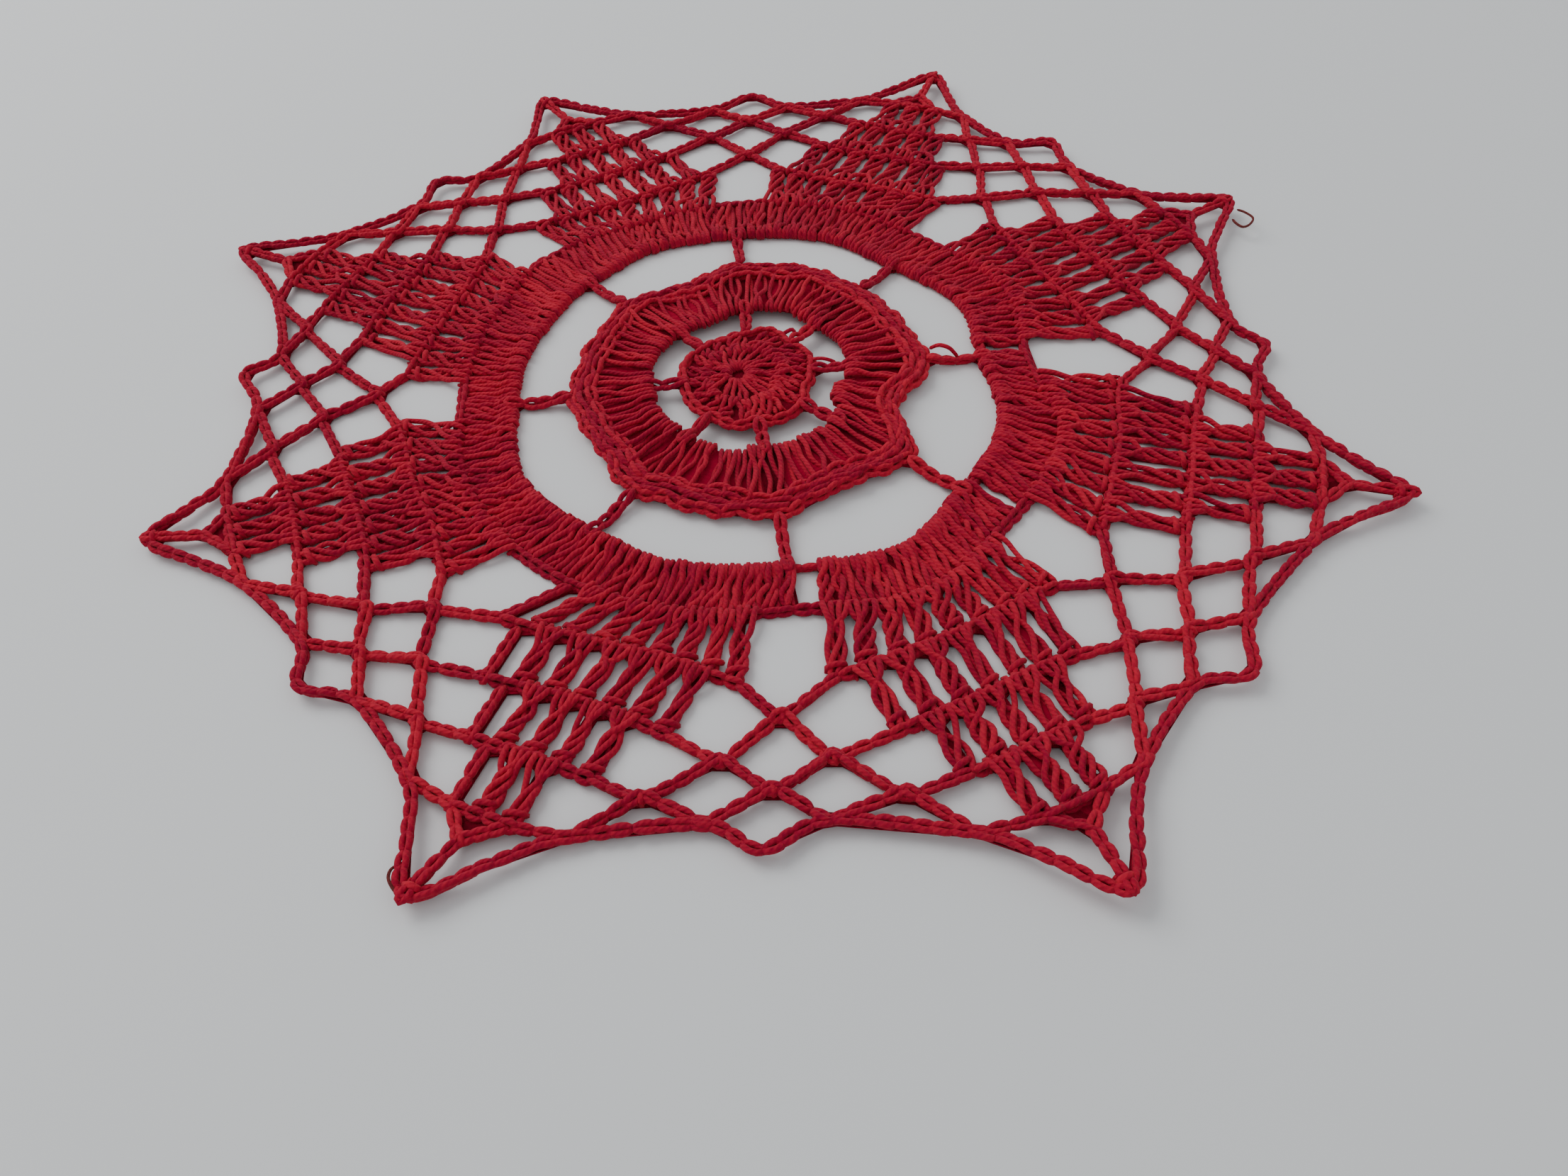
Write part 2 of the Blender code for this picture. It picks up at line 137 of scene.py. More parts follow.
@dataclass
class Star:
    """The doily's layout: an even eight-pointed star and the pulls that make it uneven."""

    sectors: int = 8
    first_gap_turn: float = -90.0
    tip_radius: float = 0.1270
    cord: float = 0.0023
    disc_radius: float = 0.0152
    disc_off_centre: tuple[float, float] = (-0.0034, 0.0012)
    off_centre_fade: float = 2.0
    inner_ring_in: float = 0.0210
    inner_ring_side: float = 0.0376
    inner_ring_point: float = 0.0021
    point_sharpness: int = 4
    ring_in: float = 0.0500
    ring_out: float = 0.0628
    hexagon_turn: float = 7.6
    slit_shift: float = 3.5
    rows: tuple[Row, ...] = (Row(0.0738, 9), Row(0.0877, 7), Row(0.0997, 5), Row(0.1115, 3))
    stitch_pitch: float = 0.0054
    first_stitch: float = 0.0003
    stem_foot: float = 0.1162
    net_knots: tuple[tuple[tuple[float, float], ...], ...] = (
        ((0.0831, 0.0),),
        ((0.0927, -5.4), (0.0927, 5.4)),
        ((0.1019, -11.0), (0.0987, 0.0), (0.1019, 11.0)),
        ((0.1103, -15.0), (0.1047, -5.0), (0.1047, 5.0), (0.1103, 15.0)),
    )
    peak_radius: float = 0.1105
    edge_step: float = 0.0007
    edge_sag: float = 0.0004
    petal_turn_fade: float = 1.5
    middle_lift: float = 0.0016
    middle_climb: float = 3.0
    flat_from: float = 0.94
    flat_to: float = 1.75
    lift_bend: float = 1.3
    gaps: tuple[Gap, ...] = (
        Gap(0.0505, 0.0610, 0.0831, 0.1070, 6.6, 2.5, -0.1, 0.0010, 0.0028),
        Gap(0.0507, 0.0629, 0.0846, 0.1128, 4.2, 2.1, 0.3, 0.0012, 0.0012),
        Gap(0.0478, 0.0579, 0.0831, 0.1073, 5.9, 1.4, 1.9, 0.0010, 0.0014),
        Gap(0.0499, 0.0638, 0.0865, 0.1170, 4.7, 3.6, 3.3, 0.0012, 0.0),
        Gap(0.0528, 0.0678, 0.0902, 0.1194, 2.9, -0.3, -0.9, 0.0008, 0.0),
        Gap(0.0508, 0.0676, 0.0858, 0.1135, -0.6, -0.1, -1.6, 0.0012, 0.0),
        Gap(0.0481, 0.0598, 0.0778, 0.1076, 4.3, -1.2, -4.7, 0.0014, 0.0),
        Gap(0.0494, 0.0619, 0.0803, 0.1060, 8.6, 0.0, -1.2, 0.0010, 0.0),
    )
    petals: tuple[Petal, ...] = (
        Petal(0.0377, 0.0538, 0.0885, 0.1275, 6.8, 2.4, 1.5, 0.0004, 1.28, 0.0028),
        Petal(0.0316, 0.0510, 0.0890, 0.1270, 3.6, 3.6, 3.6, 0.0009, 1.40, 0.0014),
        Petal(0.0379, 0.0513, 0.0877, 0.1267, 4.9, 3.9, 3.7, 0.0012, 1.35, 0.0022),
        Petal(0.0418, 0.0534, 0.0933, 0.1344, 4.1, 0.0, -0.3, 0.0003, 1.50, 0.0018),
        Petal(0.0371, 0.0538, 0.0907, 0.1316, 1.2, 0.4, 2.0, 0.0012, 1.34, 0.0018),
        Petal(0.0384, 0.0491, 0.0883, 0.1315, -0.1, -2.7, -2.3, 0.0006, 1.40, 0.0014),
        Petal(0.0367, 0.0510, 0.0820, 0.1194, 7.7, -2.0, -4.1, 0.0014, 1.50, 0.0010),
        Petal(0.0392, 0.0507, 0.0836, 0.1234, 10.4, -0.9, -2.3, 0.0019, 1.10, 0.0014),
    )
    hub: Point = field(default_factory=lambda: np.zeros(2))

    @property
    def sector_turn(self) -> float:
        """The turn of one sector."""
        return 360.0 / self.sectors

    def centre_on_box(self) -> None:
        """Move the hub so that the doily's outline is centred on the origin, as the solid is."""
        outline = LaceGround(self, cord=self.cord).outer_edge()
        self.hub = self.hub - (outline.min(axis=0) + outline.max(axis=0)) / 2.0

    def neighbours(self, turn: Union[float, np.ndarray]) -> tuple[np.ndarray, np.ndarray, np.ndarray]:
        """What lies on either side of a turn, or of each of many.

        Args:
            turn: The turn, anticlockwise from the middle of the first gap.

        Returns:
            The gap, the petal, and the petal's share there, from 0 to 1.
        """
        halves = turn / (self.sector_turn / 2.0)
        half = np.floor(halves).astype(int)
        share = 0.5 - 0.5 * np.cos(math.pi * (halves - half))
        return (((half + 1) // 2) % self.sectors, (half // 2) % self.sectors,
                np.where(half % 2 == 0, share, 1.0 - share))

    def petal_pull(self, petal: Petal, radius: float) -> float:
        """The turn that a point on a petal's axis is given.

        Args:
            petal: The petal.
            radius: The point's distance from the centre of the even pattern.

        Returns:
            The turn.
        """
        last = self.rows[-1].reach
        if radius > last:
            share = min(1.0, (radius - last) / (self.tip_radius - last))
            return petal.turn + (petal.tip_turn - petal.turn) * share
        left = min(1.0, (last - radius) / (last - self.ring_in))
        return petal.turn + (petal.root_turn - petal.turn) * left ** self.petal_turn_fade

    def place(self, radius: float, turn: float) -> Point:
        """Where a point of the even pattern lies in the uneven doily.

        Args:
            radius: Its distance from the centre of the even pattern.
            turn: Its turn, anticlockwise from the middle of the first gap.

        Returns:
            Its place on the table.
        """
        gap_index, petal_index, share = self.neighbours(turn)
        gap, petal = self.gaps[gap_index], self.petals[petal_index]
        knot_radius = self.net_knots[0][0][0]
        gap_reach = between((0.0, self.ring_in, self.ring_out, knot_radius, self.peak_radius),
                            (0.0, gap.ring_in, gap.ring_out, gap.knot, gap.peak), radius)
        petal_reach = between(
            (0.0, self.inner_ring_side, self.ring_in, self.rows[1].reach, self.tip_radius),
            (0.0, petal.inner_side, petal.ring_in, petal.row, petal.tip), radius)
        gap_pull = between((0.0, self.ring_in, knot_radius, self.peak_radius),
                           (gap.ring_turn, gap.ring_turn, gap.knot_turn, gap.peak_turn),
                           min(radius, self.peak_radius))
        reach = gap_reach * (1.0 - share) + petal_reach * share
        pull = gap_pull * (1.0 - share) + self.petal_pull(petal, radius) * share
        heading = math.radians(self.first_gap_turn + turn + pull)
        shift = max(0.0, 1.0 - radius / self.inner_ring_in) ** self.off_centre_fade
        return (self.hub + reach * np.array((math.cos(heading), math.sin(heading)))
                + shift * np.array(self.disc_off_centre))

    def turn_between(self, start: Point, end: Point) -> float:
        """The turn from one place to another, seen from the hub, between -180 and 180."""
        first, last = (math.atan2(*(place - self.hub)[::-1]) for place in (start, end))
        return (math.degrees(last - first) + 180.0) % 360.0 - 180.0

    def place_on_petal(self, index: int, across: float, along: float) -> Point:
        """Where a point lies that is given across and along a petal's axis."""
        turn = self.sector_turn * (index + 0.5) + math.degrees(math.atan2(across, along))
        return self.place(math.hypot(across, along), turn)

    def rise(self, places: np.ndarray) -> np.ndarray:
        """How far the doily's underside lies off the table.

        Args:
            places: Places on the table, one in each row.

        Returns:
            The height at each: nothing from the solid ring to the middle of a petal.
        """
        x, y = (places[:, :2] - self.hub).T
        gap, petal, share = self.neighbours(np.degrees(np.arctan2(y, x)) - self.first_gap_turn)

        def blend(of_gap: str, of_petal: str) -> np.ndarray:
            """Blend a pull of the gap with one of the petal.

            Args:
                of_gap: The gap's pull, by name.
                of_petal: The petal's.

            Returns:
                The two by the petal's share, at each place.
            """
            at_gaps = np.array([getattr(pull, of_gap) for pull in self.gaps])[gap]
            at_petals = np.array([getattr(pull, of_petal) for pull in self.petals])[petal]
            return at_gaps * (1.0 - share) + at_petals * share

        radius, ring = np.hypot(x, y), blend("ring_in", "ring_in")
        inner = np.clip(self.middle_climb * (1.0 - radius / (self.flat_from * ring)), 0.0, 1.0)
        flat = self.flat_to * ring
        outer = np.maximum(0.0, radius - flat) / (blend("peak", "tip") - flat)
        return self.middle_lift * ease(inner) + blend("lift", "lift") * outer ** self.lift_bend

    def inner_ring_edge(self, share: float) -> float:
        """Radius of the inner ring's outer edge at a share of a sector, pointed at the spokes."""
        point = math.cos(math.pi * share) ** self.point_sharpness
        return self.inner_ring_side + self.inner_ring_point * point

    def row_half(self, row: int) -> float:
        """Half the distance between the outer stitches of a row."""
        return self.stitch_pitch * (self.rows[row].stitches - 1) / 2.0

    def corner(self, index: int, side: int, row: int) -> Point:
        """The end of a petal's row, on its clockwise (-1) or anticlockwise (1) side."""
        return self.place_on_petal(index, side * self.row_half(row), self.rows[row].reach)

    def side_foot(self, index: int, side: int, row: int, pad: float) -> Point:
        """Where the outer side of a row's last stitch on one side of a petal stands on the row below."""
        across = side * (self.row_half(row) + pad) - self.petals[index].lean
        return self.place_on_petal(index, across, self.rows[row - 1].reach)

    def posts(self, index: int, number: int) -> tuple[np.ndarray, np.ndarray]:
        """The tall stitches of a petal's row.

        Args:
            index: The petal.
            number: The row.

        Returns:
            Their feet, and their heads, one in each row of an array.
        """
        row, half = self.rows[number], self.row_half(number)
        across = np.linspace(-half, half, row.stitches)
        heads = [self.place_on_petal(index, spot, row.reach) for spot in across]
        if number:
            below = self.rows[number - 1].reach + self.first_stitch
            feet = [self.place_on_petal(index, spot - self.petals[index].lean, below) for spot in across]
        else:
            turns = np.linspace(self.hexagon_turn, self.sector_turn - self.hexagon_turn, row.stitches)
            feet = [self.place(self.ring_out + self.first_stitch, self.sector_turn * index + turn)
                    for turn in turns]
        return np.array(feet), np.array(heads)

    def knots(self, index: int, step: float = 0.0) -> list[list[Point]]:
        """The net's knots in a gap, round by round, each moved outwards by a step."""
        start = self.sector_turn * index
        return [[self.place(radius + step, start + turn) for radius, turn in ring] for ring in self.net_knots]

    def edge_knots(self, index: int) -> list[Point]:
        """Where the edge chain passes outside the last round of knots."""
        return self.knots(index, self.edge_step)[-1]

    def tip(self, index: int) -> Point:
        """The tip of a petal."""
        return self.place_on_petal(index, 0.0, self.tip_radius)

    def stem(self, index: int) -> Point:
        """The foot of the stem that leads to a petal's tip."""
        return self.place_on_petal(index, 0.0, self.stem_foot)

    def peak(self, index: int) -> Point:
        """The free point in the middle of a gap's edge."""
        return self.place(self.peak_radius, self.sector_turn * index)

    def edge_bow(self, knot: Point, end: Point) -> Point:
        """The middle of the edge chain between a knot and a tip, which bows towards the centre."""
        middle = (knot + end) / 2.0 - self.hub
        return self.hub + middle * (1.0 - self.edge_sag / np.linalg.norm(middle))

    def edge_stops(self) -> list[Point]:
        """What the edge chain passes through.

        Returns:
            The net's edge, the peak, the net's edge again and the tip, sector by sector.
        """
        stops = []
        for index in range(self.sectors):
            edge, before, tip = self.edge_knots(index), self.tip(index - 1), self.tip(index)
            stops += [self.edge_bow(edge[0], before), *edge[:2], self.peak(index), *edge[2:],
                      self.edge_bow(edge[3], tip), tip]
        return stops


# ---------------------------------------------------------------- yarn
class Course:
    """A smooth line through spots, measured by length."""

    SUBSTEPS = 8
    REACH = 0.0004

    def __init__(self, spots: Sequence[Spot], closed: bool = False) -> None:
        """Draw the line.

        Args:
            spots: What it passes through.
            closed: Whether it returns to its first spot.
        """
        knots = np.array(spots, float)
        if closed:
            knots = np.vstack((knots[-1:], knots, knots[:2]))
        else:
            knots = np.vstack((2.0 * knots[:1] - knots[1:2], knots, 2.0 * knots[-1:] - knots[-2:-1]))
        t = (np.arange(self.SUBSTEPS) / self.SUBSTEPS)[None, :, None]
        a, b, c, d = (knots[i:len(knots) - 3 + i, None, :] for i in range(4))
        line = 0.5 * (2.0 * b + (c - a) * t + (2.0 * a - 5.0 * b + 4.0 * c - d) * t ** 2
                      + (3.0 * b - a - 3.0 * c + d) * t ** 3)
        self.line = np.vstack((line.reshape(-1, 3), knots[-2]))
        self.run = np.concatenate(([0.0], np.cumsum(np.linalg.norm(np.diff(self.line, axis=0), axis=1))))
        self.closed = closed

    @property
    def length(self) -> float:
        """Its length."""
        return float(self.run[-1])

    def spots(self, distances: np.ndarray) -> np.ndarray:
        """The spots at some distances along it.

        Args:
            distances: The distances; an open line is carried straight on past its ends.

        Returns:
            The spots, one in each row.
        """
        reach = np.mod(distances, self.length) if self.closed else np.clip(distances, 0.0, self.length)
        found = np.stack([np.interp(reach, self.run, self.line[:, axis]) for axis in range(3)], axis=1)
        if not self.closed:
            first, last = self.line[1] - self.line[0], self.line[-1] - self.line[-2]
            found += np.outer(np.minimum(0.0, distances), first / np.linalg.norm(first))
            found += np.outer(np.maximum(0.0, distances - self.length), last / np.linalg.norm(last))
        return found

    def frames(self, distances: np.ndarray) -> tuple[np.ndarray, np.ndarray]:
        """The spots at some distances, and which way is left there.

        Args:
            distances: The distances along the line.

        Returns:
            The spots, and the level direction to the line's left at each.
        """
        ahead = self.spots(distances + self.REACH) - self.spots(distances - self.REACH)
        ahead[:, 2] = 0.0
        ahead /= np.linalg.norm(ahead, axis=1, keepdims=True)
        return self.spots(distances), np.stack((-ahead[:, 1], ahead[:, 0], np.zeros(len(ahead))), axis=1)


@dataclass
class Yarn:
    """A length of plied cotton yarn, laid strand by strand and then swept into one mesh."""

    star: Star
    rng: np.random.Generator
    radius: float = 0.00057
    sides: int = 6
    least_rings: int = 4
    uneven: float = 0.10
    unevenness_length: float = 0.0045
    end_share: float = 0.45
    off_axis: tuple[float, float, float] = (0.31, 0.17, 0.93)
    strands: list[tuple[np.ndarray, np.ndarray, float]] = field(default_factory=list)

    def drift(self, distances: np.ndarray, length: float) -> np.ndarray:
        """A seeded value between -1 and 1 that wanders along distances, over about a length."""
        marks = np.arange(distances.min() - length, distances.max() + 2.0 * length, length)
        return np.interp(distances, marks, self.rng.uniform(-1.0, 1.0, len(marks)))

    def lay(self, spots: np.ndarray, step: float, thickness: float = 1.0) -> None:
        """Lay a strand, kept off the table.

        Args:
            spots: What it passes through.
            step: Distance between its rings of vertices.
            thickness: Its thickness, as a share of the yarn's.
        """
        course = Course(spots)
        run = np.linspace(0.0, course.length, max(self.least_rings, round(course.length / step) + 1))
        line = course.spots(run)
        girth = self.radius * thickness * (1.0 + self.uneven * self.drift(run, self.unevenness_length))
        line[:, 2] = np.maximum(line[:, 2], girth) + self.star.rise(line)
        girth[[0, -1]] *= self.end_share
        self.strands.append((line, girth, float(self.rng.uniform())))

    def cross_sections(self, line: np.ndarray) -> tuple[np.ndarray, np.ndarray]:
        """Two directions across a strand at each of its points, turning as little as they can.

        Args:
            line: The middle of the strand.

        Returns:
            The two directions, square to each other.
        """
        tangents = np.gradient(line, axis=0)
        tangents /= np.linalg.norm(tangents, axis=1, keepdims=True)
        side = np.cross(tangents[0], self.off_axis)
        sides = np.empty_like(tangents)
        for i, tangent in enumerate(tangents):
            side = side - tangent * (side @ tangent)
            side = side / math.sqrt(side @ side)
            sides[i] = side
        return sides, np.cross(tangents, sides)

    def sweep(self, name: str) -> bpy.types.Object:
        """Make one mesh of all the strands, each a closed tube.

        Args:
            name: The piece's name.

        Returns:
            The piece, with a UV map that holds the distance along the yarn and the turn round it, and an
            attribute that gives each strand its own shade.
        """
        turn, side = np.arange(self.sides) / self.sides, np.arange(self.sides)
        around = 2.0 * math.pi * turn[None, :, None]
        vertices, faces, corners, shades, start = [], [], [], [], 0
        for line, girth, shade in self.strands:
            first, second = self.cross_sections(line)
            tube = line[:, None, :] + girth[:, None, None] * (
                np.cos(around) * first[:, None, :] + np.sin(around) * second[:, None, :])
            vertices.append(tube.reshape(-1, 3))
            rows = np.arange(len(line) - 1)[:, None] * self.sides + start
            here, there = rows + side, rows + np.roll(side, -1)
            quads = np.stack((here, there, there + self.sides, here + self.sides), axis=-1)
            faces += quads.reshape(-1, 4).tolist()
            faces += [(side[::-1] + start).tolist(), (side + rows[-1] + self.sides).tolist()]
            run = np.concatenate(([0.0], np.cumsum(np.linalg.norm(np.diff(line, axis=0), axis=1))))
            low, high, edge, next_edge = np.broadcast_arrays(
                run[:-1, None], run[1:, None], turn, turn + 1.0 / self.sides)
            corners += [
                np.stack((low, edge, low, next_edge, high, next_edge, high, edge), axis=-1).reshape(-1, 2),
                np.stack((np.zeros(self.sides), turn[::-1]), axis=-1),
                np.stack((np.full(self.sides, run[-1]), turn), axis=-1)]
            shades.append(np.full(len(line) * self.sides, shade))
            start += len(line) * self.sides
        mesh = bpy.data.meshes.new(name)
        mesh.from_pydata(np.concatenate(vertices).tolist(), [], faces)
        mesh.uv_layers.new(name="yarn").data.foreach_set(
            "uv", np.concatenate(corners).astype(np.float32).ravel())
        mesh.attributes.new("strand_shade", "FLOAT", "POINT").data.foreach_set(
            "value", np.concatenate(shades).astype(np.float32))
        mesh.shade_smooth()
        return add_object(name, mesh)


@dataclass(frozen=True)
class Chain:
    """Chain stitches: one strand, each loop pulled through the one before.

    loop lists what the strand passes through in one stitch. Its columns are the place along the chain in
    stitches, across it in half widths, and up in half depths. tilt turns the chain on its side, and sway is
    how far it rolls either way as it goes.
    """

    pitch: float = 0.0030
    half_width: float = 0.00058
    half_depth: float = 0.00042
    step: float = 0.00070
    tilt: float = 0.0
    sway: float = 42.0
    sway_length: float = 0.008
    wild: float = 0.14
    loop: tuple[tuple[float, float, float], ...] = (
        (0.00, 0.00, -1.0), (0.15, -0.30, 0.0), (0.60, -1.00, 1.0), (1.10, -0.90, 0.5), (1.30, 0.00, -0.2),
        (1.10, 0.90, 0.5), (0.60, 1.00, 1.0), (0.15, 0.30, 0.0), (0.00, 0.15, -1.0), (0.50, 0.30, -1.3),
    )

    def work(self, yarn: Yarn, course: Course) -> None:
        """Work a chain along a course.

        Args:
            yarn: The yarn to work with.
            course: Where the middle of the chain runs.
        """
        count = max(1, round(course.length / self.pitch))
        pitch = course.length / count
        loop = np.array(self.loop)
        stitches = np.arange(count) + self.wild * yarn.rng.uniform(-1.0, 1.0, count)
        spots = ((stitches[:, None] + loop[None, :, 0]) * pitch).ravel()
        middle, left = course.frames(spots)
        plump = 1.0 + self.wild * yarn.drift(spots, pitch)
        across = np.tile(loop[:, 1], count) * self.half_width * plump
        up = np.tile(loop[:, 2], count) * self.half_depth * plump
        roll = np.radians(self.tilt + self.sway * yarn.drift(spots, self.sway_length))
        level = across * np.cos(roll) - up * np.sin(roll)
        height = across * np.sin(roll) + up * np.cos(roll)
        yarn.lay(middle + left * level[:, None] + UP * height[:, None], self.step)


@dataclass(frozen=True)
class TallStitch:
    """A tall stitch: strands that wrap over a core, such as the chain below, and wind on up to its head.

    sides lists where each strand stands on the core, as shares of foot_spread, which is in half widths;
    those nearer the middle than outer_side run lower. Its body is narrowed at width_stops by squeeze, not
    at all, and by head_share.
    """

    sides: tuple[float, ...] = (-1.0, 1.0, -0.33, 0.33)
    outer_side: float = 0.5
    thickness: float = 1.0
    half_width: float = 0.00112
    half_depth: float = 0.00048
    turns: float = 0.7
    core: float = 0.00120
    core_height: float = 0.00110
    low_strand: float = 0.92
    foot_spread: float = 1.6
    settle: float = 0.42
    head_share: float = 0.95
    width_stops: tuple[float, ...] = (0.0, 0.4, 0.8, 1.0)
    body_from: float = 0.12
    body_points: int = 10
    step: float = 0.0010
    wander: float = 0.00028
    wander_across: float = 0.25
    wander_up: float = 0.2
    wild: float = 0.16
    wild_turns: float = 0.5
    wrap_turns: tuple[float, ...] = (-40.0, -95.0, -145.0, 175.0, 130.0)

    def work(self, yarn: Yarn, foot: Spot, head: Spot, squeeze: float = 1.0, plump: float = 1.0) -> None:
        """Work one stitch.

        Args:
            yarn: The yarn to work with.
            foot: The middle of the core that it starts on.
            head: Where it ends, under the chain above.
            squeeze: The width at its foot, as a share of the full one.
            plump: Its width, as a share of the usual one.
        """
        run, rng = head - foot, yarn.rng
        ahead = np.array((run[0], run[1], 0.0)) / float(np.hypot(run[0], run[1]))
        left = np.array((-ahead[1], ahead[0], 0.0))
        phase = rng.uniform(0.0, 1.0)
        twist = self.turns * (1.0 + self.wild_turns * rng.uniform(-1.0, 1.0))
        share = np.linspace(self.body_from, 1.0, self.body_points)
        half = self.half_width * plump * (1.0 + self.wild * rng.uniform(-1.0, 1.0))
        width = half * np.interp(share, self.width_stops, (squeeze, 1.0, 1.0, self.head_share))
        wound = ease(np.clip(share / self.settle, 0.0, 1.0))
        wrap = np.radians(self.wrap_turns)
        for strand, side in enumerate(self.sides):
            core = 1.0 if abs(side) > self.outer_side else self.low_strand
            angle = 2.0 * math.pi * (phase + strand / len(self.sides) + twist * share)
            stray = yarn.drift(share, self.wander_across) * self.wander
            across = (np.cos(angle) * wound + self.foot_spread * side * (1.0 - wound)) * width + stray
            up = np.sin(angle) * wound * self.half_depth + core * self.core_height * (1.0 - wound)
            up += yarn.drift(share, self.wander_up) * self.wander
            body = foot + run * share[:, None] + left * across[:, None] + UP * up[:, None]
            offset = self.foot_spread * side * squeeze * half
            hook = (foot + ahead * (np.cos(wrap) * self.core * core)[:, None] + left * offset
                    + UP * (np.sin(wrap) * self.core_height * core)[:, None])
            yarn.lay(np.vstack((hook, body)), self.step, self.thickness)


@dataclass(frozen=True)
class Hook:
    """The short stitch by which one round is hooked into the last: a turn of yarn round both."""

    half_width: float = 0.00098
    half_depth: float = 0.00084
    slant: float = 0.0008
    turns: float = 0.9
    points: int = 9
    step: float = 0.0008
    wild: float = 0.5

    def work(self, yarn: Yarn, middle: Spot, ahead: Sequence[float]) -> None:
        """Wind the stitch.

        Args:
            yarn: The yarn to work with.
            middle: The middle of the knot.
            ahead: The level direction of the cords that it holds.
        """
        direction = np.array((ahead[0], ahead[1], 0.0))
        direction /= np.linalg.norm(direction)
        left = np.array((-direction[1], direction[0], 0.0))
        share = np.linspace(-0.5, 0.5, self.points)
        start = math.pi / 2.0 + yarn.rng.uniform(-self.wild, self.wild)
        angle = 2.0 * math.pi * self.turns * share + start
        yarn.lay(middle + direction * (share * self.slant)[:, None]
                 + left * (np.cos(angle) * self.half_width)[:, None]
                 + UP * (np.sin(angle) * self.half_depth)[:, None], self.step)


# ---------------------------------------------------------------- finishes
class Shade(Enum):
    """The doily's finishes."""

    STITCHES = "cotton_stitches"
    # The web under the stitches: a darker red that paints the shade under them.
    GROUND_PAINTED_SHADE = "cotton_ground_painted_shade"
    THREAD = "brown_thread"


class Nodes:
    """A material and its nodes, with short ways to add to them."""

    def __init__(self, name: str) -> None:
        """Start a Principled material.

        Args:
            name: Its name.
        """
        self.material = bpy.data.materials.new(name)
        self.material.use_nodes = True
        self.tree = self.material.node_tree

    def feed(self, node: bpy.types.Node, inputs: dict[Union[str, int], Any]) -> None:
        """Set some of a node's inputs.

        Args:
            node: The node.
            inputs: A plain value or another node's output for each, by their names or places.
        """
        for name, value in inputs.items():
            if isinstance(value, bpy.types.NodeSocket):
                self.tree.links.new(value, node.inputs[name])
            else:
                node.inputs[name].default_value = value

    def add(self, kind: str, output: str, inputs: dict[Union[str, int], Any],
            **settings: Any) -> bpy.types.NodeSocket:
        """Add a node.

        Args:
            kind: Its type, without the prefix that all of them share.
            output: The name of the output asked for.
            inputs: What goes into its inputs, by their names or places.
            settings: Its other settings.

        Returns:
            That output.
        """
        node = self.tree.nodes.new("ShaderNode" + kind)
        for name, value in settings.items():
            setattr(node, name, value)
        self.feed(node, inputs)
        return node.outputs[output]

    def maths(self, operation: str, *values: Any) -> bpy.types.NodeSocket:
        """Add a Math node on numbers and outputs."""
        return self.add("Math", "Value", dict(enumerate(values)), operation=operation)

    def noise(self, scale: float, detail: float) -> bpy.types.NodeSocket:
        """Add a noise texture on Object coordinates."""
        place = self.add("TexCoord", "Object", {})
        return self.add("TexNoise", "Fac", {"Scale": scale, "Detail": detail, "Vector": place})

    def dress(self, inputs: dict[Union[str, int], Any]) -> bpy.types.Material:
        """Set the shader's inputs and give the material."""
        self.feed(self.tree.nodes["Principled BSDF"], inputs)
        return self.material


